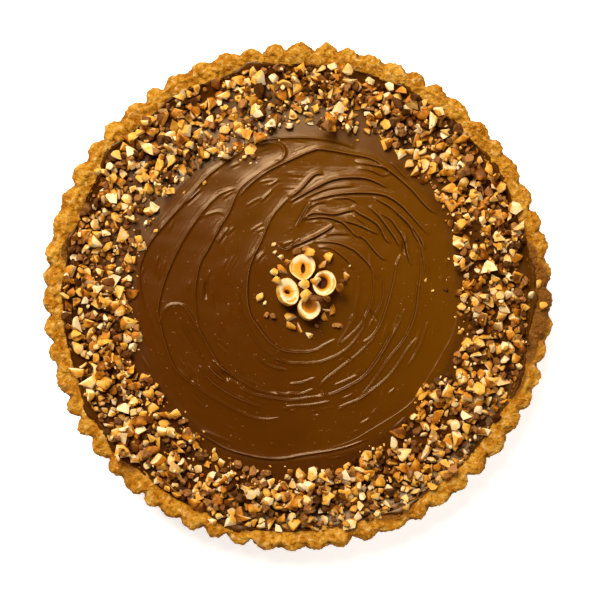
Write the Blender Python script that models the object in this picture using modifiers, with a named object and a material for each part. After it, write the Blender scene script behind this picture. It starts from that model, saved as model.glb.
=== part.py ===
"""A chocolate and hazelnut tart: a fluted shortcrust case filled with swirled chocolate spread.

A ring of chopped nuts is heaped round the edge, and four halved hazelnuts lie in the middle.
Lengths are in metres. The tart stands on z = 0 and the origin is under its middle.
"""

import math
from dataclasses import dataclass

import bmesh
import bpy
from mathutils import Matrix, Vector, noise

MM = 0.001
GAP = 0.35 * MM  # clearance between pieces that rest on or in each other

# The case: a shortcrust shell baked in a loose-bottomed fluted tin.
RIM_RADIUS = 125.0 * MM  # over the crests of the flutes
BASE_RADIUS = 119.5 * MM
CASE_HEIGHT = 26.0 * MM
BASE_THICKNESS = 5.0 * MM
INNER_FOOT_RADIUS = 111.5 * MM  # inside wall where it meets the base
INNER_LIP_RADIUS = 115.6 * MM  # inside wall where the spread ends
RIM_CROWN_RADIUS = 120.4 * MM
FLUTES = 60
STEPS_PER_FLUTE = 4
FLUTE_DEPTH = 2.9 * MM
FLUTE_FADE = 6.0 * MM  # how far in from the outer wall a flute still shows
RIM_UNEVENNESS = 0.7 * MM
LIP_WOBBLE = 1.1 * MM

# The filling: spread up to a little below the rim.
SPREAD_LEVEL = 22.6 * MM
SPREAD_DOME = 0.7 * MM  # the middle stands this much above the edge
SPREAD_STEPS = 80
SWIRL_START_RADIUS = 12.0 * MM  # the middle, under the halved nuts, is plain
SWIRL_LIMIT_RADIUS = 82.0 * MM  # the swirls end where the nuts begin
SWIRL_FADE = 4.0 * MM
SWIRL_RINGS = 18  # rings of points that carry the swirls
RIDGE_FLANK = 2.7 * MM  # from the crest of a ridge to where it is a third as high

# The ring of chopped nuts and chocolate.
RING_STEPS = 96
RING_INNER_RADIUS = 86.0 * MM
RING_INNER_WOBBLE = 5.5 * MM
RING_DEPTH = 4.2 * MM
RING_LUMPS = 3.2 * MM
RING_EDGE = 0.6 * MM  # thickness where the heap runs out
RING_CLEARANCE = 0.5 * MM  # from the heap to the inside of the rim

# The halved hazelnuts.
NUT_RADIUS = 6.5 * MM
NUT_DEPTH = 6.4 * MM
CAVITY_DEPTH = 3.3 * MM
NUT_STEPS = 18
DECORATION_CENTRE = Vector((3.9 * MM, 3.8 * MM, 0.0))


@dataclass
class Swirl:
    """A ridge that the spatula left: it winds from one polar point to another."""

    start_deg: float
    end_deg: float
    start_radius: float
    middle_radius: float
    end_radius: float
    height: float

    def radius_at(self, share):
        """Radius of the ridge's crest at a share of its length, through its three radii."""
        early = (1 - share) * (1 - 2 * share) * self.start_radius
        middle = 4 * share * (1 - share) * self.middle_radius
        late = share * (2 * share - 1) * self.end_radius
        return early + middle + late

    def rise(self, angle_deg, radius):
        """How much this ridge lifts the spread at a polar point."""
        sweep = self.end_deg - self.start_deg
        total = 0.0
        for turn in (-360, 0, 360):
            share = (angle_deg + turn - self.start_deg) / sweep
            if 0 < share < 1:
                off = (radius - self.radius_at(share)) / RIDGE_FLANK
                taper = math.sin(math.pi * share) ** 0.5
                total += self.height * taper * math.exp(-off * off)
        return total


SWIRLS = (
    Swirl(84, 195, 60 * MM, 30 * MM, 24 * MM, 1.5 * MM),
    Swirl(190, 385, 24 * MM, 29 * MM, 31 * MM, 1.3 * MM),
    Swirl(280, 372, 34 * MM, 36.5 * MM, 40 * MM, 1.0 * MM),
    Swirl(5, 102, 40 * MM, 33 * MM, 25 * MM, 1.1 * MM),
    Swirl(77, 160, 74 * MM, 58 * MM, 50 * MM, 1.4 * MM),
    Swirl(155, 291, 50 * MM, 51 * MM, 47 * MM, 1.4 * MM),
    Swirl(121, 271, 62.5 * MM, 68.5 * MM, 57 * MM, 1.3 * MM),
    Swirl(102, 187, 77.5 * MM, 74.5 * MM, 76 * MM, 1.1 * MM),
    Swirl(20, 95, 76 * MM, 79.5 * MM, 78.5 * MM, 1.3 * MM),
    Swirl(16, 80, 66 * MM, 67 * MM, 50 * MM, 1.2 * MM),
    Swirl(23, 85, 46 * MM, 45 * MM, 39 * MM, 1.1 * MM),
    Swirl(-51, 31, 36.5 * MM, 43 * MM, 61 * MM, 1.3 * MM),
    Swirl(-77, -5, 49 * MM, 50 * MM, 53 * MM, 1.2 * MM),
    Swirl(-66, 6, 57.5 * MM, 58.5 * MM, 60 * MM, 1.2 * MM),
    Swirl(-126, 9, 80 * MM, 75.5 * MM, 78 * MM, 1.0 * MM),
)


@dataclass
class NutHalf:
    """A hazelnut cut across, lying with its cut face up."""

    name: str
    east: float  # from the middle of the decoration
    north: float
    width: float  # across the cut face, as shares of a common nut
    length: float
    tilt_deg: float  # how far the cut face leans
    tilt_towards_deg: float
    cavity_narrowing: float


NUT_HALVES = (
    NutHalf("hazelnut_half_back", -1.8 * MM, 11.2 * MM, 1.0, 0.98, 4, 100, 0.45),
    NutHalf("hazelnut_half_left", -8.6 * MM, -1.3 * MM, 0.90, 0.98, 16, 40, 0.45),
    NutHalf("hazelnut_half_right", 8.9 * MM, 3.0 * MM, 0.90, 0.94, 8, 160, 0.8),
    NutHalf("hazelnut_half_front", 1.6 * MM, -9.8 * MM, 0.88, 0.86, 8, 95, 1.0),
)


def smooth_step(value):
    """0 below 0, 1 above 1, and an S-shaped change between."""
    value = max(0.0, min(1.0, value))
    return value * value * (3 - 2 * value)


def polar(point):
    return math.atan2(point.y, point.x), math.hypot(point.x, point.y)


def from_polar(angle, radius, height):
    return Vector((radius * math.cos(angle), radius * math.sin(angle), height))


def round_noise(angle, frequency, seed):
    """Smooth noise from -1 to 1 that closes on itself after a full turn."""
    return noise.noise(Vector((frequency * math.cos(angle), frequency * math.sin(angle), seed)))


def clear_scene():
    for old in list(bpy.data.objects):
        bpy.data.objects.remove(old, do_unlink=True)


def new_collection(name):
    collection = bpy.data.collections.new(name)
    bpy.context.scene.collection.children.link(collection)
    return collection


def food_material(name, colour, roughness):
    material = bpy.data.materials.new(name)
    material.use_nodes = True
    shader = material.node_tree.nodes["Principled BSDF"]
    shader.inputs["Base Color"].default_value = (*colour, 1.0)
    shader.inputs["Roughness"].default_value = roughness
    shader.inputs["Metallic"].default_value = 0.0
    material.diffuse_color = (*colour, 1.0)
    return material


def turned(name, profile, steps, collection, material):
    """A solid turned round Z from (radius, height) points, made a plain mesh.

    The profile starts on the axis on top, runs out and down the outer side, and ends on the axis.
    """
    outline = bpy.data.meshes.new(name + "_profile")
    points = [(radius, 0.0, height) for radius, height in profile]
    outline.from_pydata(points, [(i, i + 1) for i in range(len(points) - 1)], [])
    turner = bpy.data.objects.new(name + "_turner", outline)
    collection.objects.link(turner)

    screw = turner.modifiers.new("turn", "SCREW")
    screw.axis = "Z"
    screw.angle = math.tau
    screw.steps = steps
    screw.render_steps = steps
    screw.use_merge_vertices = True
    screw.merge_threshold = 0.01 * MM

    graph = bpy.context.evaluated_depsgraph_get()
    mesh = bpy.data.meshes.new_from_object(turner.evaluated_get(graph))
    bpy.data.objects.remove(turner, do_unlink=True)
    mesh.name = name
    mesh.materials.clear()
    mesh.materials.append(material)
    made = bpy.data.objects.new(name, mesh)
    collection.objects.link(made)
    return made


def reshape(obj, rule):
    """Moves every point of a mesh to where the rule says."""
    for vertex in obj.data.vertices:
        vertex.co = rule(vertex.co.copy())
    obj.data.update()


def shade_round(obj, sharp_deg):
    obj.data.shade_smooth()
    obj.data.set_sharp_from_angle(angle=math.radians(sharp_deg))


# The case


def outer_wall_radius(height):
    """Radius of the sloping outer wall over the crests of its flutes."""
    return BASE_RADIUS + (RIM_RADIUS - BASE_RADIUS) * height / CASE_HEIGHT


def lip_shift(angle):
    """How far the inside of the rim stands in or out at an angle."""
    return LIP_WOBBLE * round_noise(angle, 2.6, 4.0)


def lip_share(height):
    """The inside wall keeps its round foot and wobbles more towards the lip."""
    return smooth_step((height - BASE_THICKNESS) / (SPREAD_LEVEL - BASE_THICKNESS))


def flute_hollow(angle):
    """0 on the crest of a flute and 1 in the narrow groove between two."""
    return 1 - abs(math.cos(angle * FLUTES / 2))


def fluted(point):
    """Presses the flutes into the outer side, and makes the rim and lip uneven."""
    angle, radius = polar(point)
    inwards = (outer_wall_radius(point.z) - radius) / FLUTE_FADE
    outside = smooth_step(1 - inwards)
    inside = lip_share(point.z) * (1 - outside)
    radius -= FLUTE_DEPTH * outside * flute_hollow(angle)
    radius += inside * lip_shift(angle)
    raised = smooth_step((point.z - SPREAD_LEVEL) / (CASE_HEIGHT - SPREAD_LEVEL))
    height = point.z + raised * RIM_UNEVENNESS * round_noise(angle, 7.0, 1.0)
    return from_polar(angle, radius, height)


def make_case(collection):
    profile = (
        (0.0, BASE_THICKNESS),
        (INNER_FOOT_RADIUS, BASE_THICKNESS),
        (INNER_LIP_RADIUS, SPREAD_LEVEL),
        (RIM_CROWN_RADIUS - 2.2 * MM, CASE_HEIGHT - 0.7 * MM),
        (RIM_CROWN_RADIUS, CASE_HEIGHT),
        (RIM_RADIUS - 1.3 * MM, CASE_HEIGHT - 0.5 * MM),
        (outer_wall_radius(23.0 * MM), 23.0 * MM),
        (outer_wall_radius(1.5 * MM), 1.5 * MM),
        (BASE_RADIUS - 1.5 * MM, 0.0),
        (0.0, 0.0),
    )
    material = food_material("shortcrust", (0.56, 0.27, 0.055), 0.75)
    case = turned("crust", profile, FLUTES * STEPS_PER_FLUTE, collection, material)
    reshape(case, fluted)
    shade_round(case, 40)


# The filling


def swirl_height(angle, radius):
    """How much the spatula's ridges lift the spread at a polar point."""
    fade = smooth_step((SWIRL_LIMIT_RADIUS - radius) / SWIRL_FADE)
    return fade * sum(swirl.rise(math.degrees(angle), radius) for swirl in SWIRLS)


def spread_top(angle, radius):
    """Height of the top of the spread at a polar point."""
    share = radius / INNER_LIP_RADIUS
    dome = SPREAD_DOME * (1 - share * share)
    return SPREAD_LEVEL + dome + swirl_height(angle, radius)


def make_spread(collection):
    foot = BASE_THICKNESS + GAP
    edge_radius = INNER_LIP_RADIUS - GAP
    spacing = (SWIRL_LIMIT_RADIUS - SWIRL_START_RADIUS) / (SWIRL_RINGS - 1)
    profile = [(0.0, SPREAD_LEVEL)]
    profile += [(SWIRL_START_RADIUS + ring * spacing, SPREAD_LEVEL) for ring in range(SWIRL_RINGS)]
    profile += [(100.0 * MM, SPREAD_LEVEL), (edge_radius, SPREAD_LEVEL)]
    profile += [(INNER_FOOT_RADIUS - GAP, foot), (0.0, foot)]
    material = food_material("chocolate_spread", (0.14, 0.045, 0.007), 0.32)
    spread = turned("spread", profile, SPREAD_STEPS, collection, material)

    def swirled(point):
        angle, radius = polar(point)
        if point.z > SPREAD_LEVEL - GAP:
            share = smooth_step((radius - RING_INNER_RADIUS) / (edge_radius - RING_INNER_RADIUS))
            shifted = radius + share * lip_shift(angle)
            return from_polar(angle, shifted, spread_top(angle, radius))
        return point

    reshape(spread, swirled)
    shade_round(spread, 50)


# The ring of chopped nuts


def make_nut_ring(collection):
    outer_radius = INNER_LIP_RADIUS - RING_CLEARANCE
    width = outer_radius - RING_INNER_RADIUS
    shares = (0.0, 0.08, 0.24, 0.42, 0.60, 0.78, 0.93, 1.0)  # across the top, from inside to outside
    profile = [(RING_INNER_RADIUS + share * width, RING_DEPTH) for share in shares]
    profile += [(outer_radius, 0.0), (RING_INNER_RADIUS, 0.0), profile[0]]
    material = food_material("chopped_hazelnut", (0.72, 0.42, 0.13), 0.6)
    ring = turned("nut_ring", profile, RING_STEPS, collection, material)

    def heaped(point):
        angle, radius = polar(point)
        across = max(0.0, min(1.0, (radius - RING_INNER_RADIUS) / width))
        inner_edge = RING_INNER_RADIUS + RING_INNER_WOBBLE * (
            0.7 * round_noise(angle, 4.0, 8.0) + 0.9 * round_noise(angle, 13.0, 3.0)
        )
        outer_edge = outer_radius + lip_shift(angle)
        radius = inner_edge + across * (outer_edge - inner_edge)
        bottom = spread_top(angle, radius) + GAP
        if point.z < RING_DEPTH / 2:
            return from_polar(angle, radius, bottom)
        heap = min(1.0, 2.6 * across ** 0.7, 1.7 * (1 - across) ** 0.5)
        lump = noise.noise(from_polar(angle, radius / (6 * MM), 5.0))
        thickness = RING_EDGE + heap * (RING_DEPTH - RING_EDGE + RING_LUMPS * lump)
        return from_polar(angle, radius, bottom + thickness)

    reshape(ring, heaped)
    weld = bmesh.new()
    weld.from_mesh(ring.data)
    bmesh.ops.remove_doubles(weld, verts=weld.verts, dist=0.01 * MM)
    weld.to_mesh(ring.data)
    weld.free()
    shade_round(ring, 60)


# The halved hazelnuts


def make_nut_half(half, collection, material):
    profile = (
        (0.0, -CAVITY_DEPTH),
        (1.7 * MM, -0.75 * CAVITY_DEPTH),
        (2.6 * MM, -0.6 * MM),
        (3.3 * MM, 0.0),
        (5.9 * MM, 0.0),
        (NUT_RADIUS, -0.8 * MM),
        (0.93 * NUT_RADIUS, -0.45 * NUT_DEPTH),
        (0.62 * NUT_RADIUS, -0.83 * NUT_DEPTH),
        (0.0, -NUT_DEPTH),
    )
    nut = turned(half.name, profile, NUT_STEPS, collection, material)

    def shaped(point):
        _, radius = polar(point)
        narrow = 1.0
        if radius < 4.0 * MM and point.z > -0.9 * CAVITY_DEPTH:
            narrow = half.cavity_narrowing
        return Vector((point.x * half.width * narrow, point.y * half.length, point.z))

    reshape(nut, shaped)
    lean = from_polar(math.radians(half.tilt_towards_deg), 1.0, 0.0)
    axis = Vector((0, 0, 1)).cross(lean)
    nut.data.transform(Matrix.Rotation(math.radians(half.tilt_deg), 4, axis))
    lowest = min(vertex.co.z for vertex in nut.data.vertices)
    place = DECORATION_CENTRE + Vector((half.east, half.north, 0.0))
    angle, radius = polar(place)
    nut.location = (place.x, place.y, spread_top(angle, radius) + GAP - lowest)
    shade_round(nut, 35)


def main():
    clear_scene()
    tart = new_collection("chocolate_tart")
    make_case(tart)
    make_spread(tart)
    make_nut_ring(tart)
    nut = food_material("hazelnut", (0.85, 0.58, 0.24), 0.5)
    for half in NUT_HALVES:
        make_nut_half(half, tart, nut)


main()
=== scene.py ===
# %% [markdown]
# # A chocolate and hazelnut tart
# The real thing is a fluted shortcrust case from a loose-bottomed tin, filled to just under the rim with
# chocolate spread. A spatula has left ridges in the spread, chopped hazelnuts and chopped chocolate lie
# round the edge, and four halved hazelnuts sit in the middle. Each kind of food becomes one mesh here, in
# metres, in the same place as the plain solid that it stands for.

import math

import bmesh
import bpy
import numpy as np
from mathutils import Matrix, Vector, noise
from mathutils.bvhtree import BVHTree


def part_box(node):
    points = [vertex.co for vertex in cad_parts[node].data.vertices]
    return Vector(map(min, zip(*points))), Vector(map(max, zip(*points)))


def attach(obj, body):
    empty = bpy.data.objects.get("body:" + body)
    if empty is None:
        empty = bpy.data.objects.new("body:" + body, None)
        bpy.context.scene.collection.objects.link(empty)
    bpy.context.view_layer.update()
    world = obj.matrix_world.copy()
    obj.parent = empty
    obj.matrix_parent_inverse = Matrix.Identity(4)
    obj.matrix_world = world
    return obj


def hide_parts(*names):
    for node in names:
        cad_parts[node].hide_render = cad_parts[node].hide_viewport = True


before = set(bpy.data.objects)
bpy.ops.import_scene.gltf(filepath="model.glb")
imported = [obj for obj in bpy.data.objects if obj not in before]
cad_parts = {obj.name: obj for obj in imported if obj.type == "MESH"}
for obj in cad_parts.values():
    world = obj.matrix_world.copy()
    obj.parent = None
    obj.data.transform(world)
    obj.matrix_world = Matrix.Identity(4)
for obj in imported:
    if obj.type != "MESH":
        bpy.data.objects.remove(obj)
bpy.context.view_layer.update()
print("nodes:", ", ".join(sorted(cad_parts)))

# %% [markdown]
# ## Sizes
# Everything is worked out from the case. Its box gives the radius over the flutes and the height of the
# rim, and the widths of the rim and of its round shoulder are those of a 25 cm tin.

# %% Driving sizes, from the frame
MM = 0.001
case_low, case_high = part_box("crust")
RIM_RADIUS = (case_high.x - case_low.x) / 2 + 1.2 * MM  # before the grooves are pressed in
RIM_TOP = case_high.z - 0.4 * MM  # before the lobes puff up
BASE_RADIUS = RIM_RADIUS - 6.1 * MM
CROWN_RADIUS = RIM_RADIUS - 5.4 * MM  # the highest line of the rim
LIP_RADIUS = RIM_RADIUS - 11.6 * MM  # where the spread meets the inside of the rim
FOOT_RADIUS = RIM_RADIUS - 14.5 * MM  # the corner between wall and floor, inside
BASE_THICKNESS = 5.0 * MM
SPREAD_LEVEL = RIM_TOP - 3.4 * MM
SPREAD_DOME = 0.7 * MM
print(f"rim {2000 * RIM_RADIUS:.1f} mm across, {1000 * RIM_TOP:.1f} mm high")

# %% [markdown]
# ## Camera and light
# The tart is seen from straight above with a short telephoto lens. One large soft lamp, the window, stands
# towards the back and a little to the left. It gives the shadows and the small highlights. A smaller panel
# hangs higher, where the sloping outer part of the spread mirrors it at the back and on the left. Weak
# lamps from the right and the front, and a faint world, keep the shadows open. The weak lamps are kept out
# of reflections, or they would show as extra highlights.

# %% Camera and lamps
VIEW_DISTANCE = 0.75
VIEW_WIDTH = 0.294
VIEW_MIDDLE = (1.0 * MM, -1.3 * MM)
SENSOR_WIDTH = 36.0
WARM = (1.0, 0.93, 0.82)
LAMPS = (  # name, place, size, power, colour, and whether it shows in reflections
    ("window", (-0.42, 0.84, 0.86), 0.8, 20.5, (1.0, 0.965, 0.92), True),
    ("panel", (-0.22, 0.50, 1.05), 0.4, 8.5, (1.0, 0.93, 0.85), True),
    ("side", (1.0, 0.1, 0.6), 0.7, 3.6, WARM, False),
    ("front", (-0.2, -1.0, 0.6), 0.7, 2.0, WARM, False),
)
WORLD_COLOUR = (1.0, 0.98, 0.96, 1.0)
WORLD_STRENGTH = 0.03


def add_lamp(name, place, size, power, colour, mirrored):
    """A square soft lamp that faces the middle of the tart."""
    lamp = bpy.data.objects.new(name, bpy.data.lights.new(name, "AREA"))
    lamp.data.size = size
    lamp.data.energy = power
    lamp.data.color = colour
    lamp.location = place
    lamp.rotation_euler = Vector(place).to_track_quat("Z", "Y").to_euler()
    lamp.visible_glossy = mirrored
    bpy.context.scene.collection.objects.link(lamp)


camera = bpy.data.objects.new("camera", bpy.data.cameras.new("camera"))
camera.data.sensor_width = SENSOR_WIDTH
camera.data.lens = SENSOR_WIDTH * VIEW_DISTANCE / VIEW_WIDTH
camera.location = (*VIEW_MIDDLE, RIM_TOP + VIEW_DISTANCE)
bpy.context.scene.collection.objects.link(camera)
bpy.context.scene.camera = camera

for lamp in LAMPS:
    add_lamp(*lamp)

world = bpy.data.worlds.new("studio")
world.use_nodes = True
background = world.node_tree.nodes["Background"]
background.inputs["Color"].default_value = WORLD_COLOUR
background.inputs["Strength"].default_value = WORLD_STRENGTH
bpy.context.scene.world = world
bpy.context.scene.view_settings.view_transform = "Standard"
print("lens", round(camera.data.lens, 1), "mm")

# %% [markdown]
# ## Shader sums
# A finish is easier to read as sums than as boxes and wires. A `Value` is one socket of a material, and
# Python's operators add the Math nodes. Every other node comes from `Finish.node`.


# %% A socket that can be used in sums
class Value:
    """A number or colour that varies over a surface."""

    def __init__(self, finish, socket):
        self.finish = finish
        self.socket = socket

    def math(self, operation, *others):
        sockets = dict(enumerate((self,) + others))
        return self.finish.node("ShaderNodeMath", {"operation": operation}, sockets)

    def __add__(self, other):
        return self.math("ADD", other)

    def __sub__(self, other):
        return self.math("SUBTRACT", other)

    def __rsub__(self, other):
        return (self * -1.0).math("ADD", other)

    def __mul__(self, other):
        return self.math("MULTIPLY", other)

    def __pow__(self, other):
        return self.math("POWER", other)

    __radd__ = __add__
    __rmul__ = __mul__

    def between(self, low, high):
        """0 at low, 1 at high, and a smooth change between."""
        sockets = {"Value": self, "From Min": low, "From Max": high}
        settings = {"interpolation_type": "SMOOTHSTEP"}
        return self.finish.node("ShaderNodeMapRange", settings, sockets)


# %% A material and its nodes
class Finish:
    """A material with one Principled shader."""

    def __init__(self, name, roughness, specular=0.5, glint=(1.0, 1.0, 1.0)):
        self.material = bpy.data.materials.new(name)
        self.material.use_nodes = True
        self.tree = self.material.node_tree
        self.shader = self.tree.nodes["Principled BSDF"]
        self.shader.inputs["Roughness"].default_value = roughness
        self.shader.inputs["Specular IOR Level"].default_value = specular
        self.put(self.shader.inputs["Specular Tint"], glint)
        self.place = self.node("ShaderNodeTexCoord", output="Object")

    def put(self, socket, value):
        """Links a value to a socket, or sets a plain number or colour on it."""
        if isinstance(value, Value):
            self.tree.links.new(value.socket, socket)
        elif isinstance(value, tuple) and len(socket.default_value) == 4:
            socket.default_value = (*value, 1.0)
        else:
            socket.default_value = value

    def node(self, kind, settings=None, sockets=None, output=0):
        made = self.tree.nodes.new(kind)
        for name, value in (settings or {}).items():
            setattr(made, name, value)
        for name, value in (sockets or {}).items():
            self.put(made.inputs[name], value)
        return Value(self, made.outputs[output])

    def attribute(self, name):
        return self.node("ShaderNodeAttribute", {"attribute_name": name}, output="Fac")

    def noise(self, size, detail=2.0, place=None):
        """Cloudy noise, 0 to 1 and mostly near a half, with clouds of about that size."""
        sockets = {"Vector": place or self.place, "Scale": 1.0 / size, "Detail": detail}
        return self.node("ShaderNodeTexNoise", sockets=sockets)

    def mix(self, share, first, second):
        """The first colour where share is 0, and the second where it is 1."""
        sockets = {0: share, 6: first, 7: second}
        return self.node("ShaderNodeMix", {"data_type": "RGBA"}, sockets, output=2)

    def bump(self, height, depth, under=None):
        """Relief: height from 0 to 1 stands for depth in metres."""
        sockets = {"Height": height, "Distance": depth}
        if under is not None:
            sockets["Normal"] = under
        return self.node("ShaderNodeBump", sockets=sockets, output="Normal")

    def finish(self, colour, normal=None, roughness=None):
        self.put(self.shader.inputs["Base Color"], colour)
        if normal is not None:
            self.put(self.shader.inputs["Normal"], normal)
        if roughness is not None:
            self.put(self.shader.inputs["Roughness"], roughness)
        return self.material


# %% [markdown]
# ## The floor
# A plain pale table, much wider than the tart. It glows a little, as paper on a light box does, so that it
# comes out white and the shadow of the tart on it stays very pale.

# %% Floor
FLOOR_WIDTH = 6.0
FLOOR_DROP = 0.2 * MM
FLOOR_COLOUR = (0.93, 0.925, 0.91)
FLOOR_GLOW = 0.68
WHITE = (1.0, 1.0, 1.0)


def started(name, add_primitive, **settings):
    """A new primitive, with nothing else selected."""
    bpy.ops.object.select_all(action="DESELECT")
    add_primitive(**settings)
    piece = bpy.context.object
    piece.name = name
    return piece


floor = started("floor", bpy.ops.mesh.primitive_plane_add, size=FLOOR_WIDTH, location=(0, 0, -FLOOR_DROP))
floor_finish = Finish("pale_table", 0.9, 0.2)
floor_finish.put(floor_finish.shader.inputs["Emission Color"], WHITE)
floor_finish.put(floor_finish.shader.inputs["Emission Strength"], FLOOR_GLOW)
floor.data.materials.append(floor_finish.finish(FLOOR_COLOUR))
print("floor", FLOOR_WIDTH, "m wide")

# %% [markdown]
# ## Helpers for meshes
# Turned food starts as a radial outline. One point is extruded along it and the edges are spun round the
# middle, which is what a potter's wheel would do. NumPy then moves all points at once by a rule, because a
# tart has a hundred thousand of them and hand-made unevenness everywhere.


# %% Turn an outline
MERGE_DISTANCE = 0.002 * MM


def turned(name, outline, steps):
    """A closed skin: (radius, height) points spun round the middle, from the axis and back to it."""
    piece = started(name, bpy.ops.mesh.primitive_plane_add, size=MM, location=(0, 0, 0))
    bpy.ops.object.mode_set(mode="EDIT")
    bpy.ops.mesh.select_mode(type="VERT")
    bpy.ops.mesh.select_all(action="SELECT")
    bpy.ops.mesh.merge(type="CENTER")
    here = Vector((0, 0, 0))
    for number, (radius, height) in enumerate(outline):
        step = Vector((radius, 0, height)) - here
        if number == 0:
            bpy.ops.transform.translate(value=step)
        else:
            bpy.ops.mesh.extrude_region_move(TRANSFORM_OT_translate={"value": step})
        here += step
    bpy.ops.mesh.select_all(action="SELECT")
    bpy.ops.mesh.spin(steps=steps, angle=math.tau, center=(0, 0, 0), axis=(0, 0, 1))
    bpy.ops.mesh.select_all(action="SELECT")
    bpy.ops.mesh.remove_doubles(threshold=MERGE_DISTANCE)
    bpy.ops.mesh.normals_make_consistent(inside=False)
    bpy.ops.object.mode_set(mode="OBJECT")
    print(name, len(piece.data.vertices), "points")
    return piece


# %% Read and write points, and noise at them
def points_of(piece):
    flat = np.empty(3 * len(piece.data.vertices))
    piece.data.vertices.foreach_get("co", flat)
    return flat.reshape(-1, 3)


def move_points(piece, points):
    piece.data.vertices.foreach_set("co", points.ravel())
    piece.data.update()


def store(piece, name, values, domain="POINT"):
    """Keeps a number for each point or face, for a finish to read."""
    layer = piece.data.attributes.new(name, "FLOAT", domain)
    layer.data.foreach_set("value", np.asarray(values, np.float32))


def smooth_step(value):
    value = np.clip(value, 0, 1)
    return value * value * (3 - 2 * value)


def noise_at(x, y, z, size, seed=0.0):
    """Smooth noise from about -1 to 1 with bumps of that size."""
    places = np.stack(np.broadcast_arrays(x / size, y / size, z / size + seed), -1)
    return np.array([noise.noise(place) for place in places.tolist()])


def triangles(piece):
    piece.data.calc_loop_triangles()
    return len(piece.data.loop_triangles)


# %% [markdown]
# ## The shape of the case
# The tin presses round lobes into the pastry, with a narrow groove between two. Baked by hand, no two
# lobes are alike: they differ in width, reach and height, and the rim puffs up in the middle of each.
# The rules below say where the pastry is, so that the spread and the nuts can lie on it later.

# %% Lobes of the rim
FLUTES = 60
FLUTE_DEPTH = 3.3 * MM
FLUTE_FADE = 7.0 * MM  # how far in from the wall a groove runs out
LOBE_ROUNDNESS = 1.15
LIP_WOBBLE = 1.4 * MM
LIP_RIPPLE = 0.6 * MM
DRIFT = (0, 0.3, -0.25, 0.1, 0.35, -0.3, -0.1, 0)  # of the grooves round the rim, as shares of a lobe
JITTER = 0.15
chance = np.random.default_rng(11)
drift = np.interp(np.arange(FLUTES), np.linspace(0, FLUTES, len(DRIFT)), DRIFT)
groove_deg = (np.arange(FLUTES) + 0.5 + drift + chance.uniform(-JITTER, JITTER, FLUTES)) * 360 / FLUTES
groove_deg = np.concatenate(([groove_deg[-1] - 360], groove_deg))
groove_depth = FLUTE_DEPTH * chance.uniform(0.55, 1.2, FLUTES)
groove_depth = np.append(groove_depth, groove_depth[0])
lobe_reach = chance.uniform(-0.5, 0.6, FLUTES) * MM
lobe_puff = chance.uniform(-0.5, 0.7, FLUTES) * MM
print(f"grooves {1000 * groove_depth.min():.1f} to {1000 * groove_depth.max():.1f} mm deep")

# %% Rules for the rim
SET = (  # angle in degrees, and millimetres outwards
    (0, 0.4), (30, 0.0), (100, -0.3), (150, 1.0), (190, 0.6), (230, 0.7), (290, -1.0), (330, -0.1),
    (360, 0.4),
)


def set_out(angle):
    """How far the baked case has set outwards or shrunk inwards at an angle."""
    return np.interp(np.degrees(angle) % 360, *np.transpose(SET)) * MM


def lip_shift(angle):
    """How far the inside of the rim stands in or out."""
    slow = noise_at(2.6 * np.cos(angle), 2.6 * np.sin(angle), 4.0, 1.0)
    quick = noise_at(11 * np.cos(angle), 11 * np.sin(angle), 8.0, 1.0)
    return LIP_WOBBLE * slow + LIP_RIPPLE * quick


def lobe_at(angle):
    """(crest share, groove depth, reach, puff) at an angle: the share is 1 on a crest and 0 in a groove."""
    degrees = np.degrees(angle) % 360
    degrees = np.where(degrees >= groove_deg[-1], degrees - 360, degrees)
    lobe = np.clip(np.searchsorted(groove_deg, degrees, side="right") - 1, 0, FLUTES - 1)
    across = (degrees - groove_deg[lobe]) / (groove_deg[lobe + 1] - groove_deg[lobe])
    crest = np.sin(np.pi * np.clip(across, 0, 1)) ** LOBE_ROUNDNESS
    depth = groove_depth[lobe] * (1 - across) + groove_depth[lobe + 1] * across
    return crest, depth, lobe_reach[lobe], lobe_puff[lobe]


def outer_wall(height):
    return BASE_RADIUS + (RIM_RADIUS - BASE_RADIUS) * height / RIM_TOP


# %% Bend a plain turned case into the baked one
DENT_SIZE = 9 * MM
LUMP_SIZE = 3.5 * MM
SWELL = 0.6 * MM  # how far dents and lumps move the top
MIDDLE_PUFF = 0.3 * MM
GROOVE_DIP = 1.3 * MM


def baked(points):
    """Where the points of a plain turned case come to lie on the baked one, and how deep in a groove."""
    x, y, z = points.T
    angle = np.arctan2(y, x)
    radius = np.hypot(x, y)
    crest, depth, reach, puff = lobe_at(angle)
    outside = smooth_step(1 - (outer_wall(z) - radius) / FLUTE_FADE)
    inside = smooth_step((z - BASE_THICKNESS) / (SPREAD_LEVEL - BASE_THICKNESS)) * (1 - outside)
    top = smooth_step((z - SPREAD_LEVEL) / (RIM_TOP - SPREAD_LEVEL))
    dents = noise_at(x, y, z, DENT_SIZE, 3.0)
    lumps = noise_at(x, y, z, LUMP_SIZE, 5.0)
    new_radius = radius - depth * outside * (1 - crest) + reach * outside * crest
    new_radius += inside * lip_shift(angle) + (0.35 * dents + 0.45 * lumps) * MM * (0.4 + 0.6 * top)
    new_radius += outside * set_out(angle)
    new_radius = np.where(radius < FOOT_RADIUS, radius, new_radius)
    rise = SWELL * dents + SWELL * lumps + (puff + MIDDLE_PUFF) * crest * outside
    rise -= GROOVE_DIP * (1 - crest) * outside
    moved = np.stack((new_radius * np.cos(angle), new_radius * np.sin(angle), z + top * rise), 1)
    return moved, (1 - crest) * outside


# %% [markdown]
# The outline of the case runs from the middle underneath, out and up the sloping wall, over the round
# shoulder and down inside. The rings are close together where the pastry shows and far apart where the
# spread covers it. Two Displace modifiers then give the sandy crumb of shortcrust as real relief.

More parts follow.
